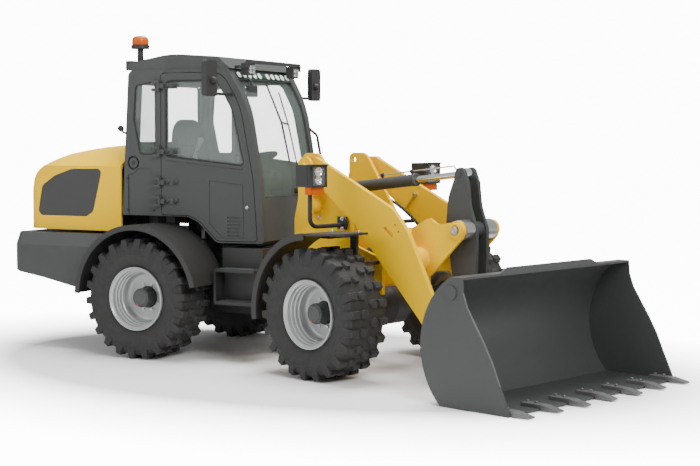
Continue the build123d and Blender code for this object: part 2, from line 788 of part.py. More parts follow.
# Roof and cab fittings: a grab rail on the left pillar, work lamps, lamp bar and beacon base
rail_points = [(-200, 490, 1934), (-140, 540, 1867), (-30, 540, 1310), (-74.5, 480, 1251)]
rail_inside = 25
with BuildPart() as cab_fittings:
    rail_places = [rear.from_local_coords(point) for point in rail_points]
    top_end = rail_places[0] + (rail_places[0] - rail_places[1]).normalized() * rail_inside
    low_end = rail_places[3] + (rail_places[3] - rail_places[2]).normalized() * rail_inside
    with BuildLine() as rail_route:
        FilletPolyline(top_end, rail_places[1], rail_places[2], low_end, radius=45)
    with BuildSketch(Plane(top_end, z_dir=rail_places[1] - top_end)) as rail_round:
        Circle(grab_rail_radius)
    sweep(rail_round.sketch, path=rail_route.line)
    add(cab_form(-seat_gap), mode=Mode.SUBTRACT)
    rod(side(rear, 0), (-260, 2478), 16, 860)
    for way in (-1, 1):
        block(rear, (-380, way * 425 - 12, 2424), (-245, way * 425 + 12, 2446))
        block(rear, (-275, way * 425 - 12, 2424), (-245, way * 425 + 12, 2480))
        block(rear, (-325, way * 369 - 52, 2365), (-257, way * 369 + 52, 2465))
        block(rear, (-1425, way * 480 - 52, 2425), (-1361.5, way * 480 + 52, 2505))
    rod(rear.offset(2553), (-1300, -490), 26, 124)
    rod(rear.offset(2622), (-1300, -490), 78, 32)
with BuildPart() as work_lamp_lenses:
    for way in (-1, 1):
        block(rear, (-257 + seat_gap, way * 369 - 44, 2373), (-244, way * 369 + 44, 2448))
        block(rear, (-1437, way * 480 - 44, 2433), (-1425.3, way * 480 + 44, 2497))
with BuildPart() as beacon:
    with BuildSketch(rear.offset(2638 + seat_gap)) as dome:
        with Locations((-1300, -490)):
            Circle(70)
    extrude(dome.sketch, amount=48)
    extrude(beacon.faces().sort_by(Axis.Z)[-1], amount=30, taper=38)

# Rear lamp clusters on the counterweight
with BuildPart() as rear_lamps:
    for way in (-1, 1):
        block(
            rear, (weight_rear_x - 28, way * 560 - 90, 800), (weight_rear_x - seat_gap, way * 560 + 90, 880),
        )


# Hood: crowned shell, open to the front, with mesh windows in its sides and rear
def hood_form(inset, front_x):
    """Hood volume drawn in by an inset, out to a front face."""
    with BuildPart() as form:
        plate(
            side(rear, 0),
            [(front_x, hood_bottom - (30 if inset else 0)), (front_x, 1790 - inset), (-1750, 1786 - inset),
             (-2120, 1700 - inset), (-2370 + inset / 2, 1530 - inset / 2), (hood_rear_x + inset, 1240),
             (hood_rear_x + inset, hood_bottom - (30 if inset else 0))],
            2 * hood_half_width,
            radius=[0, 0, 700, 500, 250, 150, 0],
        )
        with BuildSketch(across(rear, hood_rear_x - 50)) as section:
            with BuildLine():
                half = hood_half_width - inset
                low = Polyline((half, 1600 - inset), (half, 900), (-half, 900), (-half, 1600 - inset))
                ThreePointArc(low @ 0, (half * 0.72, 1705 - inset), (half * 0.3, 1770 - inset))
                ThreePointArc((half * 0.3, 1770 - inset), (0, 1782 - inset), (-half * 0.3, 1770 - inset))
                ThreePointArc((-half * 0.3, 1770 - inset), (-half * 0.72, 1705 - inset), low @ 1)
            make_face()
        extrude(section.sketch, amount=front_x - hood_rear_x + 100, mode=Mode.INTERSECT)
        with BuildSketch(rear) as plan:
            with Locations(((hood_rear_x + inset + front_x + 300) / 2, 0)):
                length = front_x + 300 - hood_rear_x - inset
                RectangleRounded(length, 2 * (hood_half_width - inset), 140 - inset)
        extrude(plan.sketch, amount=2000, mode=Mode.INTERSECT)
    return form.part


hood_window = [
    (-1625, 1578), (-1725, 1205), (-1800, 1160), (-2345, 1160), (-2290, 1425), (-2150, 1512), (-1960, 1574),
]
hood_window_radii = [40, 60, 60, 50, 80, 100, 200]
rear_grille_half = 400
rear_grille_low = 1110
rear_grille_high = 1390
knuckle_length = 60
with BuildPart() as engine_hood:
    add(hood_form(0, hood_front_x))
    add(hood_form(hood_wall, hood_front_x + 40), mode=Mode.SUBTRACT)
    for way in (-1, 1):
        plate(side(rear, way * hood_half_width), hood_window, 120, hood_window_radii, Mode.SUBTRACT)
    block(
        rear, (hood_rear_x - 40, -rear_grille_half, rear_grille_low),
        (hood_rear_x + 140, rear_grille_half, rear_grille_high), Mode.SUBTRACT,
    )
    for way in (-1, 1):
        knuckle_y = way * (hood_hinge_y + chassis_plate / 2 + 2 + knuckle_length / 2)
        block(
            rear, (hood_hinge_x - 20, knuckle_y - knuckle_length / 2, hood_hinge_z),
            (hood_hinge_x + 20, knuckle_y + knuckle_length / 2, 1760),
        )
        rod(side(rear, knuckle_y), (hood_hinge_x, hood_hinge_z), 20, knuckle_length)
        hinge_place = (hood_hinge_x, hood_hinge_z)
        rod(side(rear, knuckle_y), hinge_place, hinge_pin_radius + pin_gap, 90, Mode.SUBTRACT)
    add(hood_form(0, hood_front_x), mode=Mode.INTERSECT)
with BuildPart() as hood_grilles:
    for way in (-1, 1):
        with BuildSketch(side(rear, way * (hood_half_width - hood_wall / 2))) as mesh:
            with BuildLine():
                FilletPolyline(*hood_window, radius=hood_window_radii, close=True)
            make_face()
            offset(amount=-seat_gap, mode=Mode.REPLACE)
        extrude(mesh.sketch, amount=5, both=True)
    with BuildSketch(across(rear, hood_rear_x + 12)) as back_mesh:
        with Locations((0, (rear_grille_low + rear_grille_high) / 2)):
            Rectangle(2 * rear_grille_half - 2 * seat_gap, rear_grille_high - rear_grille_low - 2 * seat_gap)
    extrude(back_mesh.sketch, amount=10)

# Front chassis: tower plates with lifting eyes, cheeks for the arm pins, tongues and cylinder ears
lift_hole = (385, 1662)
lift_hole_radius = 24
tower_outline = [
    (230, 330), (230, 1180), (330, 1560), (330, 1720), (520, 1720), (860, 1240), (900, 1000), (1230, 900),
    (1230, axle_pad_top), (880, axle_pad_top), (800, 330),
]
tower_radii = [30, 120, 60, 55, 110, 120, 80, 60, 0, 0, 60]
with BuildPart() as front_chassis:
    for way in (-1, 1):
        plate(side(front, way * tower_half_width), tower_outline, tower_plate, tower_radii)
        plate(
            side(front, way * cheek_half_width),
            [(420, 1180), (420, 1690), (570, 1690), (570, 1180)], cheek_plate, radius=70,
        )
        outer = cheek_half_width + cheek_plate / 2
        rod(side(front, way * (tower_half_width + outer) / 2), (495, 1290), 60, outer - tower_half_width)
        rod(side(front, way * (tower_half_width + outer + 14) / 2), arm_pin, arm_pin_radius,
            outer + 14 - tower_half_width + tower_plate)
        rod(side(front, way * tower_half_width), lift_hole, lift_hole_radius, 100, Mode.SUBTRACT)
    inner_tower = tower_half_width - tower_plate / 2
    block(front, (230, -inner_tower, 330), (260, inner_tower, 1150))
    block(front, (800, -inner_tower, 640), (830, inner_tower, 740))
    block(front, (230, -90, 900), (560, 90, 935))
    for z in (upper_pivot_z, lower_pivot_z):
        plate(
            front.offset(z),
            [(0, -pivot_boss_radius), (0, pivot_boss_radius), (240, 170), (240, -170)], pivot_tongue,
        )
        rod(front.offset(z), (0, 0), pivot_boss_radius, pivot_tongue)
        rod(front.offset(z), (0, 0), pivot_pin_radius + pin_gap, 100, Mode.SUBTRACT)
    for way in (-1, 1):
        plate(
            side(front, way * (tilt_eye_width / 2 + 20)),
            [(280, 1160), (tilt_base[0] - 80, 1480), (tilt_base[0] + 60, 1500), (tilt_base[0] + 70, 1380),
             (560, 930), (230, 930)], 24, radius=[0, 60, 60, 60, 0, 0],
        )
        for ear in (-1, 1):
            y = way * lift_half_width + ear * (lift_eye_width / 2 + 11)
            rod(side(front, y), lift_base, cylinder_eye_radius + 6, 20)
            block(front, (240, y - 10, 660), (lift_base[0], y + 10, 780))
    rod(side(front, 0), tilt_base, 26, tilt_eye_width + 90)
    for way in (-1, 1):
        rod(side(front, way * lift_half_width), lift_base, cylinder_pin_radius, 110)
    for z in (steer_z - 50, steer_z + 50):
        plate(
            front.offset(z), [(232, 110), (232, 230), (150, 212), (112, 190), (108, 150), (140, 128)], 28,
        )

with BuildPart() as front_axle:
    axle(front, half_base, tower_half_width, axle_pad_top - seat_gap)

# Front fenders: curved strip behind and over the tyre with a flat tapering front
with BuildPart() as front_fenders:
    for way in (-1, 1):
        arc_band(
            side(front, way * 755), (half_base, tyre_radius),
            fender_radius - fender_thickness, fender_radius, 92, 96, 390,
        )
        arc_band(
            side(front, way * 940), (half_base, tyre_radius),
            fender_radius - 52, fender_radius, 92, 96, 20,
        )
        top = tyre_radius + fender_radius
        plate(
            front.offset(top - fender_thickness / 2),
            [(half_base - 25, way * 515), (half_base - 25, way * 950), (half_base + 90, way * 950),
             (half_base + 240, way * 770), (half_base + 240, way * 515)], fender_thickness - 1,
        )
        low_y, high_y = span(way, tower_half_width + tower_plate / 2 + seat_gap, 600)
        block(front, (870, low_y, 1060), (960, high_y, 1100))
        low_y, high_y = span(way, tower_half_width + tower_plate / 2 + seat_gap, 540)
        block(front, (1130, low_y, 860), (1200, high_y, 885))
        low_y, high_y = span(way, 518, 540)
        block(front, (1130, low_y, 860), (1200, high_y, top - 5))

# Headlamps: housing on a bent tube, lens and indicator
with BuildPart() as headlamps:
    for way in (-1, 1):
        y = way * lamp_half_track
        block(
            front, (lamp_x, y - lamp_width / 2, lamp_low),
            (lamp_x + lamp_depth - 12, y + lamp_width / 2, lamp_low + lamp_height),
        )
        foot = tower_half_width + tower_plate / 2 + seat_gap
        start = front.from_local_coords((815, way * foot, 1150))
        corner = front.from_local_coords((815, way * lamp_half_track, 1150))
        end = front.from_local_coords((815, way * lamp_half_track, lamp_low + 10))
        with BuildLine() as route:
            FilletPolyline(start, corner, end, radius=70)
        with BuildSketch(Plane(start, z_dir=(corner - start))) as tube:
            Circle(lamp_tube_radius)
        sweep(tube.sketch, path=route.line)
        low_y, high_y = span(way, foot, foot + 14)
        block(front, (745, low_y, 1115), (845, high_y, 1215))
with BuildPart() as headlamp_lenses:
    for way in (-1, 1):
        y = way * lamp_half_track
        block(
            front, (lamp_x + lamp_depth - 12 + seat_gap, y - 68, lamp_low + 12),
            (lamp_x + lamp_depth + 8, y + 68, lamp_low + lamp_height - 12),
        )
with BuildPart() as indicator_lenses:
    for way in (-1, 1):
        y = way * lamp_half_track
        block(
            front, (lamp_x + 95, y - 72, lamp_low - 58),
            (lamp_x + lamp_depth - 12, y + 72, lamp_low - seat_gap),
        )

# Lift arm: two plates, cross tube, bell-crank bracket and cylinder ears
arm_outline = [
    (420, 1560), (430, 1690), (560, 1690), (1407, 1301), (1566, 1133), (1800, 690), (2030, 330), (1990, 225),
    (1890, 240), (1695, 465), (1135, 1033), (1010, 1167), (640, 1432),
]
arm_radii = [60, 60, 60, 150, 150, 500, 60, 60, 60, 300, 200, 200, 100]
arm_window = [(1305, 1150), (1332, 1166), (1422, 1104), (1408, 1072)]
with BuildPart() as lift_arm:
    for way in (-1, 1):
        plate(side(front, way * arm_half_width), arm_outline, arm_plate, arm_radii)
        plate(side(front, way * arm_half_width), arm_window, 60, 12, Mode.SUBTRACT)
        rod(side(front, way * arm_half_width), arm_pin, arm_pin_radius + pin_gap, 60, Mode.SUBTRACT)
        rod(side(front, way * arm_half_width), hitch_pin, hitch_pin_radius + pin_gap, 60, Mode.SUBTRACT)
        plate(
            side(front, way * crank_bracket_half_width),
            [(1480, 1000), (1470, 1150), (1650, 1235), (1735, 1190), (1850, 1205), (1985, 1205),
             (1985, 1100), (1640, 770), (1500, 860)],
            crank_bracket_plate, radius=[30, 40, 40, 40, 40, 58, 58, 60, 60],
        )
        bracket = side(front, way * crank_bracket_half_width)
        rod(bracket, crank_pin, 70, crank_bracket_plate + 2 * crank_bracket_boss)
        rod(bracket, crank_pin, crank_pin_radius + pin_gap, 80, Mode.SUBTRACT)
        for ear in (-1, 1):
            plate(
                side(front, way * lift_half_width + ear * (lift_eye_width / 2 + 9)),
                [(1470, 880), (1448, 1100), (1490, 1152), (1535, 1110), (1600, 900)],
                14, radius=[10, 20, 30, 30, 10],
            )
    rod(side(front, 0), cross_tube, cross_tube_radius, 2 * arm_half_width)

# Lift cylinders: barrels pinned to the front chassis, rods to the arm's ears
lift_length = distance(lift_base, lift_eye)
with BuildPart() as lift_barrels:
    for way in (-1, 1):
        plane = side(front, way * lift_half_width)
        rod(plane, lift_base, cylinder_eye_radius, lift_eye_width - 4)
        barrel_between(plane, lift_base, lift_eye, 30, 90, lift_rod_radius)
        barrel_between(plane, lift_base, lift_eye, 75, lift_barrel_length, lift_barrel_radius)
        barrel_between(
            plane, lift_base, lift_eye, 140, lift_barrel_length + 10,
            lift_rod_radius + seat_gap, Mode.SUBTRACT,
        )
        rod(plane, lift_base, cylinder_pin_radius + pin_gap, 100, Mode.SUBTRACT)
with BuildPart() as lift_rods:
    for way in (-1, 1):
        plane = side(front, way * lift_half_width)
        rod(plane, lift_eye, 40, lift_eye_width - 14)
        barrel_between(plane, lift_base, lift_eye, 180, lift_length - 20, lift_rod_radius)

# Bell crank on its pin, tilt cylinder and link
crank_outline = [
    (1786, 1545), (1796, 1618), (1868, 1618), (1914, 1505), (1935, 1330), (2002, 1150), (2000, 860),
    (1955, 440), (1890, 412), (1832, 470), (1760, 830), (1705, 1200), (1722, 1390),
]
crank_radii = [20, 45, 45, 60, 300, 120, 300, 50, 50, 60, 300, 400, 300]
with BuildPart() as bell_crank:
    for way in (-1, 1):
        plate(side(front, way * crank_half_width), crank_outline, crank_plate, crank_radii)
    rod(side(front, 0), crank_pin, crank_boss_radius, 2 * crank_half_width)
    rod(side(front, 0), crank_pin, crank_pin_radius + pin_gap, 400, Mode.SUBTRACT)
    rod(side(front, 0), link_rear, link_pin_radius + pin_gap, 400, Mode.SUBTRACT)
    for way in (-1, 1):
        rod(side(front, way * (crank_half_width + crank_plate / 2 + 3)), tilt_eye, 24, 10)
with BuildPart() as bell_crank_pin:
    rod(side(front, 0), crank_pin, crank_pin_radius, 2 * crank_bracket_half_width + 60)
    crank_face = crank_half_width + crank_plate / 2 + washer_gap
    bracket_face = crank_bracket_half_width - crank_bracket_plate / 2 - crank_bracket_boss - washer_gap
    for way in (-1, 1):
        spacer = side(front, way * (crank_face + bracket_face) / 2)
        rod(spacer, crank_pin, crank_spacer_radius, bracket_face - crank_face)
with BuildPart() as link_pin:
    rod(side(front, 0), link_rear, link_pin_radius, 2 * (crank_face + link_collar_length))
    for way in (-1, 1):
        collar = side(front, way * (crank_face + link_collar_length / 2))
        rod(collar, link_rear, link_collar_radius, link_collar_length)
with BuildPart() as tilt_link:
    plate(
        side(front, 0),
        [(link_front[0] - 38, link_front[1] - 10), (link_front[0] + 5, link_front[1] + 40),
         (link_rear[0] + 46, link_rear[1] + 5), (link_rear[0] - 5, link_rear[1] - 46)],
        link_width, radius=30,
    )
    rod(side(front, 0), link_rear, link_pin_radius + pin_gap, 200, Mode.SUBTRACT)
tilt_length = distance(tilt_base, tilt_eye)
with BuildPart() as tilt_barrel:
    plane = side(front, 0)
    rod(plane, tilt_base, 60, tilt_eye_width - 10)
    barrel_between(plane, tilt_base, tilt_eye, 40, tilt_barrel_length, tilt_barrel_radius)
    barrel_between(
        plane, tilt_base, tilt_eye, 130, tilt_barrel_length + 10, tilt_rod_radius + seat_gap, Mode.SUBTRACT,
    )
    rod(plane, tilt_base, 26 + pin_gap, 200, Mode.SUBTRACT)
with BuildPart() as tilt_rod:
    plane = side(front, 0)
    rod(plane, tilt_eye, 44, tilt_eye_width)
    barrel_between(plane, tilt_base, tilt_eye, 180, tilt_length - 20, tilt_rod_radius)

# Quick hitch on its pins, which carry a collar between hitch and arm
hitch_outline = [
    (1905, 345), (1960, 378), (2080, 520), (2180, 690), (hitch_face_x, 690), (hitch_face_x, 150),
    (2100, 130), (1960, 222), (1900, 250),
]
with BuildPart() as quick_hitch:
    for way in (-1, 1):
        plate(
            side(front, way * hitch_half_width), hitch_outline, hitch_plate,
            radius=[50, 40, 200, 30, 10, 10, 40, 60, 50],
        )
        rod(side(front, way * (hitch_half_width + hitch_ear_half_width) / 2), (2185, 600), 42,
            hitch_half_width - hitch_ear_half_width + hitch_ear_plate)
        rod(side(front, way * hitch_half_width), hitch_pin, hitch_pin_radius + pin_gap, 200, Mode.SUBTRACT)
        plate(
            side(front, way * hitch_ear_half_width),
            [(2215, 660), (2215, 540), (2060, 480), (1800, 500), (1745, 546), (1790, 592), (2060, 600)],
            hitch_ear_plate, radius=[10, 10, 80, 40, 36, 40, 80],
        )
    rod(side(front, 0), (2180, 200), 42, 2 * hitch_half_width)
with BuildPart() as hitch_pins:
    for way in (-1, 1):
        inside = hitch_half_width - hitch_plate / 2 - 6
        outside = arm_half_width + arm_plate / 2 + 14
        rod(side(front, way * (inside + outside) / 2), hitch_pin, hitch_pin_radius, outside - inside)
        rod(side(front, way * (outside - 6)), hitch_pin, 44, 12)
        hitch_side = hitch_half_width + hitch_plate / 2 + washer_gap
        arm_side = arm_half_width - arm_plate / 2 - washer_gap
        collar = side(front, way * (hitch_side + arm_side) / 2)
        rod(collar, hitch_pin, hitch_collar_radius, arm_side - hitch_side)

# Bucket: curved back and floor, side plates, spill guard and lugs behind
bucket_side = [
    (2642, bucket_top_z), (2651, 800), (2685, 700), (2828, 480), (2902, 354),
    (bucket_lip_x, bucket_floor_z + 14),
]
with BuildPart() as bucket:
    with BuildSketch(side(front, 0)) as shell:
        with BuildLine():
            back = ThreePointArc(
                (2450, bucket_floor_z), (bucket_back_x, 504), (2540, bucket_top_z),
            )
            Polyline(back @ 1, *bucket_side, (bucket_lip_x - 10, bucket_floor_z), back @ 0)
        make_face()
    extrude(shell.sketch, amount=bucket_half_width, both=True)
    for way in (-1, 1):
        plate(
            side(front, way * hitch_half_width),
            [(hitch_face_x + seat_gap, 160), (hitch_face_x + seat_gap, 680), (2360, 690), (2400, 140)], 70,
        )
    inside_floor = bucket_floor_z + bucket_wall
    inside_top = bucket_top_z - bucket_wall
    with BuildSketch(side(front, 0)) as hollow:
        with BuildLine():
            inner_back = ThreePointArc(
                (2456, inside_floor), (bucket_back_x + bucket_wall, 504), (2536, inside_top),
            )
            Polyline(
                inner_back @ 1, (2650, inside_top), (2650, bucket_top_z + 100), (3300, bucket_top_z + 100),
                (3300, inside_floor), inner_back @ 0,
            )
        make_face()
    extrude(hollow.sketch, amount=bucket_half_width - bucket_wall, both=True, mode=Mode.SUBTRACT)
    plate(
        across(front, 2634),
        [(-600, bucket_top_z - 4), (-496, bucket_top_z + 40), (496, bucket_top_z + 40),
         (600, bucket_top_z - 4)], 14,
    )
    for way in (-1, 1):
        rod(side(front, way * (bucket_half_width + 5)), (2549, 792), 50, 10)

# Cutting-edge teeth bolted along the floor's front edge
with BuildPart() as bucket_teeth:
    reach = bucket_half_width - bucket_wall - tooth_width / 2 - seat_gap
    for number in range(tooth_count):
        y = -reach + 2 * reach * number / (tooth_count - 1)
        plate(
            side(front, y),
            [(2890, inside_floor + seat_gap), (2890, inside_floor + 26), (3075, inside_floor + 26),
             (tooth_tip_x, 22), (tooth_tip_x, 10), (3085, bucket_floor_z),
             (bucket_lip_x + 4, bucket_floor_z),
             (bucket_lip_x + 4, inside_floor + seat_gap)],
            tooth_width,
        )

# Steering cylinder between the frames; its rod eye lies between the front frame's ears
eye_place = rear.to_local_coords(front.from_local_coords((steer_eye[0], steer_eye[1], 0)))
steer_end = (eye_place.X, eye_place.Y)
steer_length = distance(steer_base, steer_end)
with BuildPart() as steer_barrel:
    plane = rear.offset(steer_z)
    rod(plane, steer_base, steer_eye_radius, 60)
    barrel_between(plane, steer_base, steer_end, 45, steer_barrel_length, steer_barrel_radius)
    barrel_between(plane, steer_base, steer_end, 20, 50, 26)
    barrel_between(
        plane, steer_base, steer_end, 80, steer_barrel_length + 10,
        steer_rod_radius + seat_gap, Mode.SUBTRACT,
    )
    rod(plane, steer_base, 15 + pin_gap, 100, Mode.SUBTRACT)
with BuildPart() as steer_rod:
    plane = rear.offset(steer_z)
    rod(plane, steer_end, steer_eye_radius, 60)
    barrel_between(plane, steer_base, steer_end, 310, steer_length - 20, steer_rod_radius)

for name, piece in {
    "rear_chassis": rear_chassis, "counterweight": counterweight, "tow_coupling": tow_coupling,
    "engine_block": engine_block, "rear_axle": rear_axle, "rear_fenders": rear_fenders,
    "access_steps": access_steps, "cab_body": cab_body, "cab_roof": cab_roof, "cab_glass": cab_glass,
    "operator_seat": operator_seat, "cab_console": cab_console, "cab_fittings": cab_fittings,
    "work_lamp_lenses": work_lamp_lenses, "beacon": beacon, "rear_lamps": rear_lamps,
    "engine_hood": engine_hood, "hood_grilles": hood_grilles, "front_chassis": front_chassis,
    "front_axle": front_axle, "front_fenders": front_fenders, "headlamps": headlamps,
    "headlamp_lenses": headlamp_lenses, "indicator_lenses": indicator_lenses, "lift_arm": lift_arm,
    "lift_barrels": lift_barrels, "lift_rods": lift_rods, "bell_crank": bell_crank,
    "bell_crank_pin": bell_crank_pin, "link_pin": link_pin, "tilt_link": tilt_link,
    "tilt_barrel": tilt_barrel, "tilt_rod": tilt_rod, "quick_hitch": quick_hitch, "hitch_pins": hitch_pins,
    "bucket": bucket, "bucket_teeth": bucket_teeth, "steer_barrel": steer_barrel, "steer_rod": steer_rod,
}.items():
    write(piece, name)
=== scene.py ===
import json
import math

import bmesh
import bpy
from mathutils import Matrix, Vector


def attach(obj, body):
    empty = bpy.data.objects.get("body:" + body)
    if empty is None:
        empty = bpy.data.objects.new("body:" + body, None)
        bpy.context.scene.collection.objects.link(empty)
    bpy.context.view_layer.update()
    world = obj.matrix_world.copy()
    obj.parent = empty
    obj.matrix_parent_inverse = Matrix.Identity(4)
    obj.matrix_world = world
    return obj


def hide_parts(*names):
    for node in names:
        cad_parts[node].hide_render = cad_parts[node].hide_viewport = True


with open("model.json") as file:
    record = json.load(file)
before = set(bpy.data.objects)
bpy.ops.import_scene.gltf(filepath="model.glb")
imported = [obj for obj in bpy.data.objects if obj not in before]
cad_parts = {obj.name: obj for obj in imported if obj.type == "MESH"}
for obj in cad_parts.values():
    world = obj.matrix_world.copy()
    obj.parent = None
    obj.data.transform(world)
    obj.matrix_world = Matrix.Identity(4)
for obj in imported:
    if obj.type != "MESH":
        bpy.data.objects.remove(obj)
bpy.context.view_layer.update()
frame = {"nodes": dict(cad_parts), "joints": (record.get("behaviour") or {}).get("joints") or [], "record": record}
nodes = frame["nodes"]

# the two frames meet at the steering pivot; pieces are drawn in millimetres of the frame that carries them
pivot = next(joint["pos_m"] for joint in frame["joints"] if joint["name"] == "articulation")
steerAngle = math.radians(-17)
milli = Matrix.Scale(0.001, 4)
pivotPlace = Matrix.Translation((pivot[0], pivot[1], 0))
rearFrame = pivotPlace @ milli
frontFrame = pivotPlace @ Matrix.Rotation(steerAngle, 4, "Z") @ milli
onRear = (rearFrame, "rear_frame")
onFront = (frontFrame, "front_frame")
onArm = (frontFrame, "lift_arm")
bothSides = (("right", -1), ("left", 1))
forward, leftward, upward = (1, 0, 0), (0, 1, 0), (0, 0, 1)
sharpAngle = math.radians(34)


class Socket:
    # a node socket that takes part in Python expressions
    def __init__(self, tree, out):
        self.tree = tree
        self.out = out

    def calc(self, operation, first, second):
        node = self.tree.nodes.new("ShaderNodeMath")
        node.operation = operation
        for slot, value in zip(node.inputs, (first, second)):
            if isinstance(value, Socket):
                self.tree.links.new(value.out, slot)
            else:
                slot.default_value = value
        return Socket(self.tree, node.outputs[0])

    def __add__(self, other):
        return self.calc("ADD", self, other)

    def __radd__(self, other):
        return self.calc("ADD", other, self)

    def __sub__(self, other):
        return self.calc("SUBTRACT", self, other)

    def __rsub__(self, other):
        return self.calc("SUBTRACT", other, self)

    def __mul__(self, other):
        return self.calc("MULTIPLY", self, other)

    def __rmul__(self, other):
        return self.calc("MULTIPLY", other, self)

    def __gt__(self, other):
        return self.calc("GREATER_THAN", self, other)

    def __lt__(self, other):
        return self.calc("LESS_THAN", self, other)


class Graph:
    # a node tree written from the script, for shaders and for geometry
    def __init__(self, tree):
        self.tree = tree

    def join(self, value, slot):
        if isinstance(value, Socket):
            self.tree.links.new(value.out, slot)
        else:
            slot.default_value = value

    def node(self, kind, settings=None, output=0, **sockets):
        # a socket is named by its label, or by its number as in i6
        node = self.tree.nodes.new(kind)
        for key, value in (settings or {}).items():
            setattr(node, key, value)
        for key, value in sockets.items():
            label = int(key[1:]) if key[1:].isdigit() else key.replace("_", " ")
            self.join(value, node.inputs[label])
        return Socket(self.tree, node.outputs[output])


class Finish(Graph):
    # one material with its principled shader, and the record's slot it belongs to;
    # rough is one number, or a low and high value with the scale of their change
    def __init__(self, name, color, rough, slot=None, **sockets):
        self.material = bpy.data.materials.new(name)
        self.material.use_nodes = True
        self.material.diffuse_color = (*color, 1)
        super().__init__(self.material.node_tree)
        self.shader = self.tree.nodes["Principled BSDF"]
        self.slot = slot or name
        self.color = color
        self.put("Base Color", (*color, 1))
        if isinstance(rough, tuple):
            low, high, scale = rough
            rough = low + (high - low) * self.grain(scale)
        self.put("Roughness", rough)
        for socket, value in sockets.items():
            self.put(socket.replace("_", " "), value)

    def put(self, socket, value):
        self.join(value, self.shader.inputs[socket])

    def place(self):
        return self.node("ShaderNodeTexCoord", output="Object")

    def grain(self, scale, detail=3.0):
        return self.node("ShaderNodeTexNoise", Vector=self.place(), Scale=scale, Detail=detail)

    def blend(self, mask, first, second):
        colors = {"i6": (*first, 1), "i7": (*second, 1)}
        return self.node("ShaderNodeMix", {"data_type": "RGBA"}, output=2, i0=mask, **colors)

    def shade(self, scale, darker):
        # slow change of tone over the surface
        tone = tuple(value * darker for value in self.color)
        self.put("Base Color", self.blend(self.grain(scale), tone, self.color))
        return self

    def bump(self, height, strength, distance):
        self.put("Normal", self.node("ShaderNodeBump", Height=height, Strength=strength, Distance=distance))
        return self

    def skin(self, scale, strength, distance=0.0004):
        return self.bump(self.grain(scale, 2.0), strength, distance)


yellowPaint = Finish(
    "yellow_paint", (0.88, 0.535, 0.0), (0.28, 0.40, 5.0), Specular_IOR_Level=0.07, Coat_Weight=0.03,
    Coat_Roughness=0.1).shade(1.6, 0.94).skin(260.0, 0.05)
greyPaint = Finish(
    "grey_paint", (0.052, 0.056, 0.054), (0.36, 0.50, 9.0), Specular_IOR_Level=0.3, Coat_Weight=0.05,
    Coat_Roughness=0.25).shade(2.0, 0.86).skin(420.0, 0.08)
blackFrame = Finish("black_frame", (0.020, 0.020, 0.021), (0.42, 0.6, 8.0)).shade(3.0, 0.7).skin(300.0, 0.08)
blackPlastic = Finish("black_plastic", (0.020, 0.0195, 0.019), (0.48, 0.62, 12.0)).shade(4.0, 0.85)
blackPlastic.skin(900.0, 0.14, 0.0006)
tyreRubber = Finish("tyre_rubber", (0.019, 0.0185, 0.018), (0.62, 0.86, 22.0))
tyreRubber.shade(6.0, 0.7).skin(160.0, 0.1)
rimSilver = Finish("rim_silver", (0.40, 0.41, 0.41), (0.30, 0.42, 14.0), Metallic=0.4, Coat_Weight=0.2)
rimSilver.shade(5.0, 0.92).skin(500.0, 0.04)
hubGrey = Finish("hub_grey", (0.050, 0.052, 0.053), (0.38, 0.52, 15.0)).shade(8.0, 0.8)
windowGlass = Finish("window_glass", (0.42, 0.48, 0.45), (0.02, 0.05, 1.5), Alpha=0.20, IOR=1.45)
screenGlass = Finish(
    "screen_glass", (0.13, 0.165, 0.145), (0.02, 0.05, 1.5), "window_glass", Alpha=0.42, IOR=1.45)
sunBand = Finish("sun_band", (0.010, 0.040, 0.022), (0.05, 0.12, 6.0), "window_glass").shade(8.0, 0.7)
# white for the band's dots: painted light, standing for light that shines through the holes of the band over the
# windscreen
paintedHoleLight = Finish("white_print", (0.80, 0.82, 0.80), (0.3, 0.4, 20.0), "window_glass").shade(20.0, 0.92)
lampLens = Finish("lamp_lens", (0.5, 0.52, 0.53), (0.04, 0.09, 30.0), Alpha=0.14)
amberLens = Finish(
    "amber_lens", (0.62, 0.11, 0.0), (0.12, 0.22, 20.0), Specular_IOR_Level=0.25, Coat_Weight=0.1)
amberLens.shade(14.0, 0.75)
redLens = Finish("red_lens", (0.45, 0.008, 0.008), (0.14, 0.24, 20.0), Coat_Weight=0.5).shade(14.0, 0.7)
seatFabric = Finish("seat_fabric", (0.034, 0.035, 0.037), 0.92).shade(30.0, 0.7)
weave = [
    seatFabric.node(
        "ShaderNodeTexWave", {"bands_direction": way}, output=1, Vector=seatFabric.place(), Scale=150.0)
    for way in ("Y", "Z")]
seatFabric.bump(weave[0] + weave[1], 0.5, 0.0008)
rodChrome = Finish("rod_chrome", (0.82, 0.83, 0.84), (0.08, 0.18, 25.0), Metallic=1.0)
pinSteel = Finish("pin_steel", (0.56, 0.56, 0.56), (0.24, 0.4, 60.0), Metallic=1.0).shade(40.0, 0.8)
wornSteel = Finish("worn_steel", (0.17, 0.17, 0.168), (0.36, 0.56, 18.0), Metallic=0.5).shade(9.0, 0.7)
engineIron = Finish("engine_iron", (0.10, 0.10, 0.10), 0.7).shade(10.0, 0.7).skin(90.0, 0.2)
meshBlack = Finish("mesh_black", (0.030, 0.030, 0.031), 0.6)
mesh = {"scale": 70.0, "hole": 0.36, "metal": (0.034, 0.034, 0.035), "open": (0.002, 0.002, 0.002)}
holes = meshBlack.node(
    "ShaderNodeTexVoronoi", {"feature": "F1"}, Vector=meshBlack.place(), Scale=mesh["scale"], Randomness=0.0)
meshBlack.put("Base Color", meshBlack.blend(holes < mesh["hole"], mesh["metal"], mesh["open"]))
meshBlack.bump(holes > mesh["hole"], 0.6, 0.002)
mirrorGlass = Finish("mirror_glass", (0.72, 0.76, 0.78), (0.03, 0.06, 8.0), "rod_chrome", Metallic=1.0)
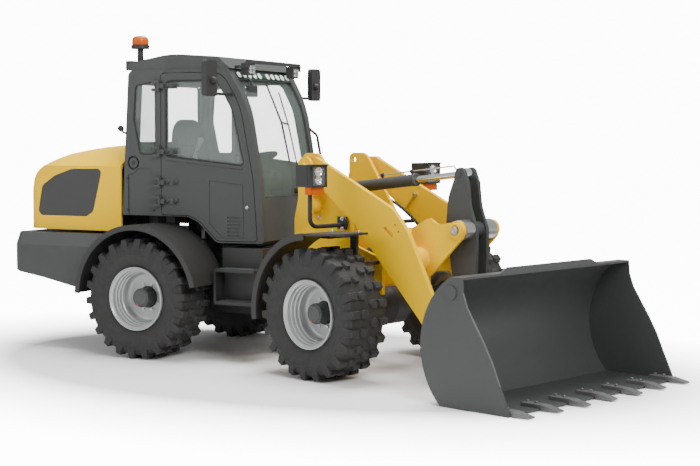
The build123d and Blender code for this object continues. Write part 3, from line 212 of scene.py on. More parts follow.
rubberSeal = Finish("rubber_seal", (0.012, 0.012, 0.012), (0.5, 0.7, 40.0), "black_plastic").shade(20.0, 0.8)
greyPlastic = Finish("grey_plastic", (0.20, 0.20, 0.20), (0.42, 0.58, 30.0), "black_plastic")
greyPlastic.shade(20.0, 0.85)
lampInside = Finish("lamp_inside", (0.86, 0.87, 0.88), (0.08, 0.2, 60.0), "rod_chrome", Metallic=0.9)
finishes = {
    finish.slot: finish for finish in (
        yellowPaint, greyPaint, blackFrame, blackPlastic, tyreRubber, rimSilver, hubGrey, windowGlass,
        lampLens, amberLens, redLens, seatFabric, rodChrome, pinSteel, wornSteel, engineIron, meshBlack,
    )
}
for part in frame["record"]["subparts"]:
    meshSlots = nodes[part["node"]].data.materials
    meshSlots.clear()
    meshSlots.append(finishes[part["material_slot"]].material)
nodes["cab_glass"].data.materials[0] = screenGlass.material
print("finishes on", len(nodes), "nodes")


class Form:
    # gathers the faces of one piece, in millimetres
    def __init__(self):
        self.mesh = bmesh.new()

    def block(self, low, high):
        made = bmesh.ops.create_cube(self.mesh, size=1)["verts"]
        size = Vector(b - a for a, b in zip(low, high))
        middle = Vector((a + b) / 2 for a, b in zip(low, high))
        bmesh.ops.transform(self.mesh, verts=made, matrix=Matrix.LocRotScale(middle, None, size))
        return self

    def between(self, rings):
        # closed skin through rings of as many points each
        made = [[self.mesh.verts.new(point) for point in ring] for ring in rings]
        for low, high in zip(made, made[1:]):
            for place in range(len(low)):
                self.mesh.faces.new((low[place - 1], low[place], high[place], high[place - 1]))
        self.mesh.faces.new(made[0])
        self.mesh.faces.new(made[-1])
        return self

    def plate(self, outline, low, high):
        # side outline of (x, z) points, thick from low to high across the machine
        return self.between([[(x, y, z) for x, z in outline] for y in (low, high)])

    def turned(self, profile, start, along, steps=48, closed=False):
        # (place, radius) points turned about a line
        axis = Vector(along).normalized()
        side = axis.orthogonal().normalized()
        up = axis.cross(side)
        rings = []
        for step in range(steps):
            angle = 2 * math.pi * step / steps
            out = side * math.cos(angle) + up * math.sin(angle)
            points = [Vector(start) + axis * at + out * radius for at, radius in profile]
            rings.append([self.mesh.verts.new(point) for point in points])
        strips = range(0 if closed else 1, len(profile))
        for first, second in zip(rings, rings[1:] + rings[:1]):
            for place in strips:
                self.mesh.faces.new((first[place - 1], first[place], second[place], second[place - 1]))
        return self

    def rod(self, start, end, radius, edge=2, steps=28):
        # round bar with chamfered ends
        length = (Vector(end) - Vector(start)).length
        near = [(0, 0), (0, radius - edge), (edge, radius)]
        far = [(length - at, out) for at, out in reversed(near)]
        return self.turned(near + far, start, Vector(end) - Vector(start), steps)

    def close(self, bevel=0, segments=2):
        bmesh.ops.remove_doubles(self.mesh, verts=self.mesh.verts, dist=0.01)
        bmesh.ops.dissolve_degenerate(self.mesh, dist=0.005, edges=self.mesh.edges)
        bmesh.ops.recalc_face_normals(self.mesh, faces=self.mesh.faces)
        if bevel:
            edges = [edge for edge in self.mesh.edges if edge.is_manifold]
            sharp = [edge for edge in edges if edge.calc_face_angle() > sharpAngle]
            bmesh.ops.bevel(
                self.mesh, geom=sharp, offset=bevel, segments=segments, profile=0.6, affect="EDGES")
        return self

    def data(self, name, place):
        self.mesh.transform(place)
        made = bpy.data.meshes.new(name)
        self.mesh.to_mesh(made)
        self.mesh.free()
        return made


def smooth(data):
    data.shade_smooth()
    data.set_sharp_from_angle(angle=sharpAngle)


def dress(name, data, body, finish, replaced=None):
    smooth(data)
    data.materials.clear()
    data.materials.append(finish.material)
    piece = bpy.data.objects.new(name, data)
    bpy.context.scene.collection.objects.link(piece)
    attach(piece, body)
    if replaced:
        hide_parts(replaced)
    return piece


def makePiece(name, form, place, body, finish, bevel=0, replaced=None):
    return dress(name, form.close(bevel).data(name, place), body, finish, replaced)


class Layout(Graph):
    # a Geometry Nodes tree with named inputs
    def __init__(self, name, inputs):
        super().__init__(bpy.data.node_groups.new(name, "GeometryNodeTree"))
        self.name = name
        self.keys = {}
        for label, kind in inputs.items():
            socket = self.tree.interface.new_socket(label, in_out="INPUT", socket_type="NodeSocket" + kind)
            self.keys[label] = socket.identifier
        self.tree.interface.new_socket("Geometry", in_out="OUTPUT", socket_type="NodeSocketGeometry")
        self.entry = self.tree.nodes.new("NodeGroupInput")

    def take(self, label):
        return Socket(self.tree, self.entry.outputs[label])

    def attribute(self, name, kind):
        return self.node("GeometryNodeInputNamedAttribute", {"data_type": kind}, Name=name)

    def end(self, geometry):
        whole = self.node("GeometryNodeRealizeInstances", Geometry=geometry)
        painted = self.node("GeometryNodeSetMaterial", Geometry=whole, Material=self.take("Finish"))
        self.join(painted, self.tree.nodes.new("NodeGroupOutput").inputs["Geometry"])

    def run(self, name, data, **values):
        host = bpy.data.objects.new(name, data)
        bpy.context.scene.collection.objects.link(host)
        modifier = host.modifiers.new(self.name, "NODES")
        modifier.node_group = self.tree
        for label, value in values.items():
            modifier[self.keys[label]] = value
        made = bpy.data.meshes.new_from_object(host.evaluated_get(bpy.context.evaluated_depsgraph_get()))
        host.modifiers.remove(modifier)
        bpy.data.objects.remove(host)
        made.name = name
        return made


# one small shape set at many spots, its z along facing and its x along across
placedPieces = Layout(
    "placed_pieces", {"Geometry": "Geometry", "Piece": "Object", "Size": "Float", "Finish": "Material"})
spots = placedPieces.node("GeometryNodeMeshToPoints", Mesh=placedPieces.take("Geometry"))
standing = placedPieces.node(
    "FunctionNodeAlignRotationToVector", {"axis": "Z"},
    Vector=placedPieces.attribute("facing", "FLOAT_VECTOR"))
turnedTo = placedPieces.node(
    "FunctionNodeAlignRotationToVector", {"axis": "X", "pivot_axis": "Z"}, Rotation=standing,
    Vector=placedPieces.attribute("across", "FLOAT_VECTOR"))
small = placedPieces.node("GeometryNodeObjectInfo", output="Geometry", Object=placedPieces.take("Piece"))
placedPieces.end(placedPieces.node(
    "GeometryNodeInstanceOnPoints", Points=spots, Instance=small, Rotation=turnedTo,
    Scale=placedPieces.take("Size")))

# a round bar along a path of straight runs with rounded corners
barAlong = Layout(
    "bar_along", {"Geometry": "Geometry", "Radius": "Float", "Sides": "Int", "Finish": "Material"})
route = barAlong.node("GeometryNodeMeshToCurve", Mesh=barAlong.take("Geometry"))
rounded = barAlong.node(
    "GeometryNodeFilletCurve", {"mode": "POLY"}, Curve=route, Count=7,
    Radius=barAlong.attribute("round", "FLOAT"), Limit_Radius=True)
ring = barAlong.node(
    "GeometryNodeCurvePrimitiveCircle", Resolution=barAlong.take("Sides"), Radius=barAlong.take("Radius"))
barAlong.end(barAlong.node("GeometryNodeCurveToMesh", Curve=rounded, Profile_Curve=ring, Fill_Caps=True))


def pointCloud(name, rows, place):
    # rows of (spot, facing, across) in millimetres of a frame
    data = bpy.data.meshes.new(name)
    data.from_pydata([place @ Vector(spot) for spot, facing, across in rows], [], [])
    turn = place.to_3x3()
    for column, label in ((1, "facing"), (2, "across")):
        values = data.attributes.new(label, "FLOAT_VECTOR", "POINT")
        for row, item in zip(rows, values.data):
            item.vector = (turn @ Vector(row[column])).normalized()
    return data


def setMany(name, shape, rows, place, body, finish, size=1.0):
    cloud = pointCloud(name, rows, place)
    data = placedPieces.run(name, cloud, Piece=shape, Size=size, Finish=finish.material)
    return dress(name, data, body, finish)


def bar(name, points, rounds, radius, place, body, finish, closed=False, sides=12):
    # rounds is one corner radius for all points, or one for each
    count = len(points)
    data = bpy.data.meshes.new(name)
    edges = [(n, (n + 1) % count) for n in range(count if closed else count - 1)]
    data.from_pydata([place @ Vector(point) for point in points], edges, [])
    corners = rounds if isinstance(rounds, (list, tuple)) else [rounds] * count
    values = data.attributes.new("round", "FLOAT", "POINT")
    for item, corner in zip(values.data, corners):
        item.value = corner / 1000
    data = barAlong.run(name, data, Radius=radius / 1000, Sides=sides, Finish=finish.material)
    return dress(name, data, body, finish)


patterns = []


def pattern(name, form, bevel=0, segments=1):
    # small shape for the placed pieces; its object is removed at the end
    data = form.close(bevel, segments).data(name, milli)
    smooth(data)
    patterns.append(bpy.data.objects.new(name, data))
    return patterns[-1]


def hexagon(radius):
    return [(radius * math.cos(n * math.pi / 3), radius * math.sin(n * math.pi / 3)) for n in range(6)]


def upright(outline, low, high):
    # ring pair of an outline in x and y, for a shape that stands on z
    return [[(x, y, z) for x, y in outline] for z in (low, high)]


def around(count, shift):
    # directions spread evenly about a wheel's axle
    angles = [2 * math.pi * (number + shift) / count for number in range(count)]
    return [Vector((math.cos(angle), 0, math.sin(angle))) for angle in angles]


def bothRows(spots):
    # rows for (x, y, z) spots on both sides of the machine, facing outward
    return [((x, way * y, z), (0, way, 0), forward) for name, way in bothSides for x, y, z in spots]


bolt = {"washer": 16, "washerHeight": 3, "head": 11, "top": 13}
hexHead = Form().rod((0, 0, 0), (0, 0, bolt["washerHeight"]), bolt["washer"], 1, 18)
hexHead.between(upright(hexagon(bolt["head"]), bolt["washerHeight"], bolt["top"]))
hexBolt = pattern("hex_bolt", hexHead, 1.2)
domeBolt = pattern("dome_bolt", Form().turned(
    [(0, 0), (0, 19), (3, 19), (8, 16), (12, 9), (13, 0)], (0, 0, 0), upward, 18))
pinHead = pattern("pin_head", Form().turned(
    [(0, 0), (0, 30), (9, 30), (12, 27), (12, 17), (9, 15), (9, 0)], (0, 0, 0), upward, 30))

# wheels: tyre with lugs, stepped rim, nuts, hub cap
wheel = {
    "radius": 505, "halfBase": 1058, "halfTrack": 756, "lugs": 22, "steps": 96,
    "tyreHalf": [
        (150, 243), (152, 264), (166, 286), (187, 326), (196, 362), (199, 378), (197.5, 383), (199, 388),
        (196, 420), (184, 452), (166, 471), (120, 476)],
    "rim": [
        (155, 266), (176, 266), (178, 264), (178, 257), (166, 248), (160, 238), (130, 236), (124, 228),
        (98, 227), (92, 219), (66, 218), (58, 210), (22, 209), (6, 202), (-6, 190), (-9, 176), (-9, 93),
        (-24, 93), (-25, 205), (-90, 229), (-158, 231), (-178, 257), (-178, 266), (-155, 266), (-153, 240),
        (153, 240)],
    "nuts": 8, "nutRing": 113, "nutSize": 1.15, "discFace": -9,
    "hubCap": [(103, 0), (103, 66), (108, 62), (109, 20), (109, 0)],
    "hubRing": [(70, 77), (70, 81), (88, 81), (88, 77)],
    "plug": {"x": -20, "z": -58, "near": 104, "far": 113, "radius": 9},
}
lug = {
    "shoulder": [
        [(102, -40, 440), (199, -37, 405), (199, 35, 405), (102, 37, 440)],
        [(102, -36, 470), (200, -33, 452), (200, 31, 452), (102, 34, 470)],
        [(110, -29, 503), (186, -26, 504), (186, 25, 504), (110, 27, 503)]],
    "middle": 52, "middleRadius": 46, "middleLow": (1.0, 0.95, 455), "middleHigh": (0.8, 0.8, 503.5),
    "nub": ((195, -9, 392), (200.5, 9, 408)),
}
shoulderLug = pattern("shoulder_lug", Form().between(lug["shoulder"]), 4)
middleLug = pattern("middle_lug", Form().between([
    [(x * wide + lug["middle"], y * long, z) for x, y in hexagon(lug["middleRadius"])]
    for wide, long, z in (lug["middleLow"], lug["middleHigh"])]), 4)
sideNub = pattern("side_nub", Form().block(*lug["nub"]), 2)
corners = {
    "front_right": (frontFrame, 1, -1), "front_left": (frontFrame, 1, 1),
    "rear_right": (rearFrame, -1, -1), "rear_left": (rearFrame, -1, 1),
}
for corner, (carrier, end, way) in corners.items():
    place = carrier @ Matrix.Translation((end * wheel["halfBase"], way * wheel["halfTrack"], wheel["radius"]))
    body = corner + "_wheel"
    middle, outward = (0, 0, 0), (0, way, 0)
    half = wheel["tyreHalf"]
    tyreForm = Form().turned(
        [(-at, radius) for at, radius in half] + half[::-1], middle, outward, wheel["steps"], True)
    makePiece(corner + "_tyre_body", tyreForm, place, body, tyreRubber, replaced=corner + "_tyre")
    rimForm = Form().turned(wheel["rim"], middle, outward, wheel["steps"], True)
    makePiece(corner + "_rim_shell", rimForm, place, body, rimSilver, replaced=corner + "_rim")
    treadRows = []
    nubRows = []
    for side in (-1, 1):
        shift = 0.5 + side / 4
        treadRows += [(middle, out, (0, side, 0)) for out in around(wheel["lugs"], shift)]
        nubRows += [(middle, out, (0, side, 0)) for out in around(wheel["lugs"], shift + 0.5)]
    setMany(corner + "_shoulder_lugs", shoulderLug, treadRows, place, body, tyreRubber)
    setMany(corner + "_middle_lugs", middleLug, treadRows, place, body, tyreRubber)
    setMany(corner + "_side_nubs", sideNub, nubRows, place, body, tyreRubber)
    disc = Vector((0, way * wheel["discFace"], 0))
    nutRows = [(out * wheel["nutRing"] + disc, outward, out) for out in around(wheel["nuts"], 0.5)]
    setMany(corner + "_wheel_nuts", hexBolt, nutRows, place, body, pinSteel, wheel["nutSize"])
    cap = Form().turned(wheel["hubCap"], middle, outward, 40)
    cap.turned(wheel["hubRing"], middle, outward, 40, True)
    makePiece(corner + "_hub_cap", cap, place, body, hubGrey)
    plug = wheel["plug"]
    plugEnds = [(plug["x"], way * y, plug["z"]) for y in (plug["near"], plug["far"])]
    makePiece(corner + "_hub_plug", Form().rod(*plugEnds, plug["radius"], 2, 16), place, body, redLens)
print("wheels made")

# doors: hinge straps with domed bolts, lock, window seal and ledge, mirror glass and knuckle
cabSide = {
    "half": 620, "taperStart": -960, "taper": 145 / 915,
    "window": [(-955, 1690), (-955, 2325), (-490, 2325), (-350, 2080), (-247, 1610)],
    "windowRounds": [30, 50, 120, 500, 30], "sealIn": 7, "sealRadius": 9,
}
strap = {
    "levels": (1309, 1470, 1728, 2280), "rear": -998, "front": -841, "half": 24, "gap": 0.4, "thick": 8,
    "bolts": (-938, -866), "glassFrom": 1700, "spacerRadius": 13, "spacerLength": 14,
}
lock = {"x": -226, "z": 1265, "profile": [(-2, 0), (-2, 15), (4, 15), (7, 12), (7, 5), (5, 4), (5, 0)]}
ledge = {
    "section": ((-2, 0), (7, 4), (7, 26), (-2, 30)), "rows": ((-952, 1654), (-600, 1615), (-262, 1577)),
}
mirror = {
    "x": -372, "y": 863, "z": 2325, "half": 70, "halfHeight": 131, "glassFrom": -3, "glassTo": -0.4,
    "knuckle": [(0, 0), (0, 34), (10, 34), (22, 27), (34, 27), (40, 18), (40, 0)],
    "knuckleFront": 45, "knuckleInward": 0.985, "knuckleDrop": 20,
}


def sideOut(x):
    # half the cab's width at a place along it
    return cabSide["half"] - max(0, x - cabSide["taperStart"]) * cabSide["taper"]


for name, way in bothSides:
    body = name + "_door"
    facing = Vector((cabSide["taper"], way, 0)).normalized()
    straps = Form()
    boltRows = []
    for z in strap["levels"]:
        low, high = z - strap["half"], z + strap["half"]
        rings = []
        for x in (strap["rear"], cabSide["taperStart"], strap["front"]):
            near, far = (way * (sideOut(x) + depth) for depth in (strap["gap"], strap["thick"]))
            rings.append([(x, near, low), (x, near, high), (x, far, high), (x, far, low)])
        straps.between(rings)
        for x in strap["bolts"]:
            spot = Vector((x, way * sideOut(x), z))
            boltRows.append((spot + facing * strap["thick"], facing, upward))
            if z > strap["glassFrom"]:
                straps.rod(spot - facing * strap["spacerLength"], spot, strap["spacerRadius"], 1, 16)
    makePiece(name + "_door_straps", straps, rearFrame, body, greyPaint, 2.5)
    setMany(name + "_door_bolts", domeBolt, boltRows, rearFrame, body, blackFrame)
    spot = (lock["x"], way * sideOut(lock["x"]), lock["z"])
    lockForm = Form().turned(lock["profile"], spot, facing, 24)
    makePiece(name + "_door_lock", lockForm, rearFrame, body, pinSteel)
    sealPath = [(x, way * (sideOut(x) - cabSide["sealIn"]), z) for x, z in cabSide["window"]]
    bar(name + "_door_seal", sealPath, cabSide["windowRounds"], cabSide["sealRadius"], rearFrame, body,
        rubberSeal, True)
    ledgeForm = Form().between([
        [(x, way * (sideOut(x) + out), z + up) for out, up in ledge["section"]] for x, z in ledge["rows"]])
    makePiece(name + "_door_ledge", ledgeForm, rearFrame, body, greyPaint, 3)
    y = way * mirror["y"]
    glass = Form().block(
        (mirror["x"] + mirror["glassFrom"], y - mirror["half"], mirror["z"] - mirror["halfHeight"]),
        (mirror["x"] + mirror["glassTo"], y + mirror["half"], mirror["z"] + mirror["halfHeight"]))
    makePiece(name + "_mirror_glass", glass, rearFrame, body, mirrorGlass, 1)
    spot = (
        mirror["x"] + mirror["knuckleFront"], y * mirror["knuckleInward"],
        mirror["z"] - mirror["knuckleDrop"])
    knuckle = Form().turned(mirror["knuckle"], spot, forward, 28)
    makePiece(name + "_mirror_knuckle", knuckle, rearFrame, body, blackPlastic, 2)
print("doors dressed")

# fixed panes: windscreen seal and wiper, seals of the quarter windows and the rear window
screen = {
    "half": 430, "low": 1345, "high": 2330, "pillarX": -470, "sealOut": 2, "sealIn": 3, "sealRound": 12,
    "sealRadius": 10,
}
wiper = {
    "blade": ((-12, 2304), (15.5, 1972), (43, 1640)), "bladeOut": 16, "bladeRound": 200, "bladeRadius": 8,
    "arm": ((102, 2235), (99, 1960), (143, 1500)), "armOut": 34, "armRound": 30, "armRadius": 6,
    "bridge": ((99, 1960), (22, 1975)), "bridgeOut": (34, 20), "bridgeRadius": 9,
    "foot": (120, 1390), "footLean": 6, "footIn": 4, "footOut": 40, "footRadius": 26, "shaftOut": 20,
}
quarter = {
    "outline": [(-1290, 2000), (-1265, 2290), (-1060, 2325), (-1060, 1700), (-1225, 1700)],
    "y": 612, "round": 40, "radius": 8,
}
rearWindow = {"x": -1352, "half": 470, "low": 1800, "high": 2310, "round": 30, "radius": 10}
screenEdge = {}
for vertex in nodes["cab_glass"].data.vertices:
    x, y, z = rearFrame.inverted() @ vertex.co
    if y > screen["half"] - 5 and x > screen["pillarX"] and screen["low"] <= z <= screen["high"]:
        screenEdge[round(z)] = max(x, screenEdge.get(round(z), -999))
edgeLine = sorted(screenEdge.items())


def screenFront(z):
    # x of the outer face of the windscreen at a height
    for (low, lowX), (high, highX) in zip(edgeLine, edgeLine[1:]):
        if low <= z <= high:
            return lowX + (highX - lowX) * (z - low) / max(1, high - low)
    return edgeLine[0][1] if z < edgeLine[0][0] else edgeLine[-1][1]


def onScreen(points, out):
    # (y, z) points set off from the windscreen
    return [(screenFront(z) + out, y, z) for y, z in points]


sealSide = screen["half"] - screen["sealIn"]
sealPath = [(x + screen["sealOut"], -sealSide, z) for z, x in edgeLine]
sealPath += [(x + screen["sealOut"], sealSide, z) for z, x in reversed(edgeLine)]
bar("screen_seal", sealPath, screen["sealRound"], screen["sealRadius"], *onRear, rubberSeal, True, 10)
blade = onScreen(wiper["blade"], wiper["bladeOut"])
bar("wiper_blade", blade, wiper["bladeRound"], wiper["bladeRadius"], *onRear, rubberSeal)
footY, footZ = wiper["foot"]
armPath = onScreen(wiper["arm"], wiper["armOut"])
armPath.append((screenFront(footZ + 10) + wiper["shaftOut"], footY, footZ))
bar("wiper_arm", armPath, wiper["armRound"], wiper["armRadius"], *onRear, blackFrame)
bridgeX = screenFront(wiper["bridge"][0][1])
bridge = [(bridgeX + out, y, z) for out, (y, z) in zip(wiper["bridgeOut"], wiper["bridge"])]
bar("wiper_bridge", bridge, 5, wiper["bridgeRadius"], *onRear, blackFrame)
footX = screenFront(footZ)
foot = Form().rod(
    (footX - wiper["footIn"], footY, footZ), (footX + wiper["footOut"], footY, footZ + wiper["footLean"]),
    wiper["footRadius"], 5)
makePiece("wiper_foot", foot, *onRear, blackPlastic)
for name, way in bothSides:
    path = [(x, way * quarter["y"], z) for x, z in quarter["outline"]]
    bar(name + "_quarter_seal", path, quarter["round"], quarter["radius"], *onRear, rubberSeal, True)
half, low, high = (rearWindow[key] for key in ("half", "low", "high"))
path = [(rearWindow["x"], y, z) for y, z in ((-half, low), (-half, high), (half, high), (half, low))]
bar("rear_window_seal", path, rearWindow["round"], rearWindow["radius"], *onRear, rubberSeal, True)
print("panes dressed")

# soft seat on a hard pan; a seam is (axis, place) in millimetres
seat = {
    "voxel": 0.008, "pressure": 4.0, "frames": 20, "cap": 0.011, "seamWidth": 0.007, "seamDepth": 0.006,
    "half": 230, "round": 26,
    "cushion": [(-1004, 1494), (-690, 1494), (-674, 1510), (-673, 1556), (-692, 1576), (-1000, 1571)],
    "cushionSeams": [(1, -140), (1, 140), (0, -860)],
    "backRows": (
        (-1040, -1178, 1602, 226), (-1078, -1186, 1800, 230), (-1100, -1191, 1900, 212),
        (-1114, -1195, 1962, 178), (-1122, -1197, 2002, 128), (-1126, -1194, 2017, 86)),
    "backSeams": [(1, -120), (1, 120), (2, 1780)],
    "pan": [
        (-1150, 1476), (-686, 1476), (-680, 1490), (-1010, 1490), (-1036, 1504), (-1038, 1594), (-1184, 1594),
        (-1187, 1506)],
    "panHalf": 238,
}


def bake(piece):
    # the piece's mesh with its modifiers applied
    made = bpy.data.meshes.new_from_object(piece.evaluated_get(bpy.context.evaluated_depsgraph_get()))
    piece.modifiers.clear()
    return made


def swell(piece):
    # cloth pressure from inside, with a limit on how far a point moves
    before = [vertex.co.copy() for vertex in piece.data.vertices]
    cloth = piece.modifiers.new("cloth", "CLOTH")
    cloth.settings.use_pressure = True
    cloth.settings.uniform_pressure_force = seat["pressure"]
    cloth.settings.effector_weights.gravity = 0
    cloth.point_cache.frame_start = 1
    cloth.point_cache.frame_end = seat["frames"]
    for number in range(1, seat["frames"] + 1):
        bpy.context.scene.frame_set(number)
    piece.data = bake(piece)
    bpy.context.scene.frame_set(1)
    for vertex, start in zip(piece.data.vertices, before):
        move = vertex.co - start
        vertex.co = start + move * min(1, seat["cap"] / max(move.length, 1e-9))


def cushion(name, form, seams):
    # swollen, then drawn in along its sewn seams
    piece = bpy.data.objects.new(name, form.close(seat["round"], 4).data(name, rearFrame))
    bpy.context.scene.collection.objects.link(piece)
    remesh = piece.modifiers.new("remesh", "REMESH")
    remesh.mode = "VOXEL"
    remesh.voxel_size = seat["voxel"]
    piece.data = bake(piece)
    swell(piece)
    finer = piece.modifiers.new("finer", "SUBSURF")
    finer.levels = finer.render_levels = 1
    data = piece.data = bake(piece)
    toFrame = rearFrame.inverted()
    normals = [vertex.normal.copy() for vertex in data.vertices]
    for vertex, normal in zip(data.vertices, normals):
        local = toFrame @ vertex.co
        nearness = max(math.exp(-((local[axis] - at) * 0.001 / seat["seamWidth"]) ** 2) for axis, at in seams)
        vertex.co -= normal * seat["seamDepth"] * nearness
    bpy.data.objects.remove(piece)
    made = dress(name, data, "rear_frame", seatFabric, "operator_seat")


cushion("seat_cushion", Form().plate(seat["cushion"], -seat["half"], seat["half"]), seat["cushionSeams"])
cushion("seat_back", Form().between([
    [(front, -half, z), (front, half, z), (rear, half, z), (rear, -half, z)]
    for front, rear, z, half in seat["backRows"]]), seat["backSeams"])
pan = Form().plate(seat["pan"], -seat["panHalf"], seat["panHalf"])
makePiece("seat_pan", pan, *onRear, blackPlastic, 8, "operator_seat")
print("seat made")

# cab controls: wheel grip with hub, instrument pod, lever, inside mirror
steering = {
    "place": (-440, 0, 1650), "way": (-190, 0, 597), "ring": 177, "grip": 18, "middle": 12,
    "hub": [(-8, 0), (-8, 56), (22, 56), (33, 44), (36, 0)],
}
loop = []
for number in range(12):
    angle = number * math.pi / 6
    loop.append((steering["middle"] + steering["grip"] * math.cos(angle),
                 steering["ring"] + steering["grip"] * math.sin(angle)))
wheelGrip = Form().turned(loop, steering["place"], steering["way"], 64, True)
wheelGrip.turned(steering["hub"], steering["place"], steering["way"], 36)
makePiece("steering_grip", wheelGrip, *onRear, blackPlastic)
pod = {
    "low": 1395, "middle": 1455, "radius": 115, "steps": 16,
    "rows": ((-336, 0.80), (-318, 0.97), (-262, 1.0), (-238, 0.94), (-226, 0.8)),
}
arch = [n * math.pi / pod["steps"] for n in range(pod["steps"] + 1)]
podRings = []
for x, share in pod["rows"]:
    reach = pod["radius"] * share
    rounding = [(x, reach * math.cos(angle), pod["middle"] + reach * math.sin(angle)) for angle in arch]
    podRings.append(rounding + [(x, -reach, pod["low"]), (x, reach, pod["low"])])
makePiece("instrument_pod", Form().between(podRings), *onRear, blackPlastic, 4)
lever = {
    "stem": [(-850, -345, 1640), (-842, -345, 1700), (-800, -345, 1790)], "stemRounds": [0, 40, 0],
    "stemRadius": 13, "foot": (-850, -345, 1640.4), "knobPlace": (-806, -345, 1776), "knobWay": (42, 0, 90),
    "bellows": [
        (0, 0), (0, 46), (10, 46), (14, 36), (20, 38), (26, 28), (32, 30), (38, 20), (46, 12), (46, 0)],
    "knob": [(0, 0), (2, 20), (20, 27), (46, 29), (66, 24), (74, 12), (76, 0)],
}
bar("lever_stem", lever["stem"], lever["stemRounds"], lever["stemRadius"], *onRear, greyPlastic)
leverForm = Form().turned(lever["bellows"], lever["foot"], upward, 32)
leverForm.turned(lever["knob"], lever["knobPlace"], lever["knobWay"], 28)
makePiece("lever_knob", leverForm, *onRear, greyPlastic)
insideMirror = {
    "low": (-326, -352, 2186), "high": (-300, -196, 2282), "round": 10,
    "stem": [(-313, -274, 2275), (-318, -274, 2320), (-365, -274, 2350)],
    "stemRounds": [0, 20, 0], "stemRadius": 8,
}
mirrorForm = Form().block(insideMirror["low"], insideMirror["high"])
makePiece("inside_mirror", mirrorForm, *onRear, blackPlastic, insideMirror["round"])
bar("inside_mirror_stem", insideMirror["stem"], insideMirror["stemRounds"], insideMirror["stemRadius"],
    *onRear, blackFrame)
print("cab inside dressed")

# tinted band over the beam above the windscreen; its white dots are painted light, standing for light that shines
# through the band's holes
band = {
    "low": (-346.6, 2336), "high": (-386.0, 2401.6), "out": (0.857, 0.514), "half": 432, "near": 0.5,
    "far": 3.0, "dots": 5, "dotStart": 65, "dotPitch": 82,
    "dot": [(0, 0), (0, 28), (0.8, 28), (1.2, 27), (1.2, 0)],
}
outX, outZ = band["out"]
bandOutline = []
for (x, z), depths in ((band["low"], ("near", "far")), (band["high"], ("far", "near"))):
    bandOutline += [(x + outX * band[depth], z + outZ * band[depth]) for depth in depths]
bandForm = Form().plate(bandOutline, -band["half"], band["half"])
makePiece("sun_band", bandForm, *onRear, sunBand, 0.6)
bandDot = pattern("band_dot", Form().turned(band["dot"], (0, 0, 0), upward, 24))
dotX, dotZ = ((a + b) / 2 + way * band["far"] for a, b, way in zip(band["low"], band["high"], band["out"]))
dotRows = []
for number in range(band["dots"]):
    for name, way in bothSides:
        y = way * (band["dotStart"] + band["dotPitch"] * number)
        dotRows.append(((dotX, y, dotZ), (outX, 0, outZ), leftward))
# the dots are painted light where light shines through the band's holes
setMany("sun_band_dots", bandDot, dotRows, *onRear, paintedHoleLight)
print("sun band made")

# cab sides: filler cap, knobs that catch the doors, bolts on the sides and roof, panel under the floor
fillerCap = {
    "place": (-1291, -608.2, 1632),
    "profile": [(0, 0), (0, 40), (6, 40), (9, 36), (9, 18), (16, 15), (16, 0)],
}
doorCatch = {
    "stub": [(-1335, 600, 1872), (-1392, 626, 1893), (-1412, 630, 1925)], "rounds": [0, 15, 0], "radius": 10,
    "ballWay": (-15, 0, 30),
    "ball": [(-24, 0), (-24, 14), (-12, 25), (0, 28), (14, 25), (24, 14), (25, 0)],
}
cabBolts = {"spots": ((-1355, 620, 1230), (-1355, 620, 1500), (-1080, 620, 1230)), "size": 0.55}
roofBolts = {"spots": ((-1230, 2500.2), (-820, 2515.2)), "y": 470, "lean": 0.2, "size": 0.8}
underPanel = {"low": (-1010, -6, 1040), "high": (-470, 6, 1196)}
cap = Form().turned(fillerCap["profile"], fillerCap["place"], (0, -1, 0), 40)
makePiece("filler_cap", cap, *onRear, blackPlastic, 1)
for name, way in bothSides:
    stub = [(x, way * y, z) for x, y, z in doorCatch["stub"]]
    bar(name + "_door_catch", stub, doorCatch["rounds"], doorCatch["radius"], *onRear, blackFrame)
    ball = Form().turned(doorCatch["ball"], stub[-1], doorCatch["ballWay"], 28)
    makePiece(name + "_catch_ball", ball, *onRear, rubberSeal)
setMany("cab_side_bolts", domeBolt, bothRows(cabBolts["spots"]), *onRear, blackFrame, cabBolts["size"])
roofRows = []
for x, z in roofBolts["spots"]:
    for name, way in bothSides:
        roofRows.append(((x, way * roofBolts["y"], z), (0, way * roofBolts["lean"], 1), forward))
setMany("roof_bolts", domeBolt, roofRows, *onRear, blackFrame, roofBolts["size"])
panel = Form().block(underPanel["low"], underPanel["high"])
makePiece("under_cab_panel", panel, *onRear, blackFrame, 1)
print("cab sides dressed")

# front frame: headlamp bezels and reflector cups, lamp tube feet, bolts, heads of the arm pins
lamp = {
    "face": 910, "track": 667, "low": 1462, "height": 172, "bezelBack": 40, "bezelFront": 14,
    "strips": (((-80, 0), (80, 13)), ((-80, 159), (80, 172)), ((-80, 0), (-67, 172)), ((67, 0), (80, 172))),
    "visorReach": 30, "visorHalf": 84, "visorBelow": 6, "visorAbove": 4,
    "cups": ((118, 38), (52, 34)), "cupIn": 1, "bulb": [(-10, 0), (-10, 8), (2, 8), (5, 5), (6, 0)],
    "footPlace": (815, 299, 1165), "foot": [(0, 0), (0, 52), (12, 50), (12, 0)],
}
frontBolts = {
    "side": ((813, 311, 1201), (817, 311, 1127), (530, 285, 1202)),
    "top": ((991, 600, 1124), (1240, 560, 1124)), "size": 1.1,
}
armPin = {"spots": [(490, 436, 1610)], "size": 1.1}
frontRows = bothRows(frontBolts["side"])
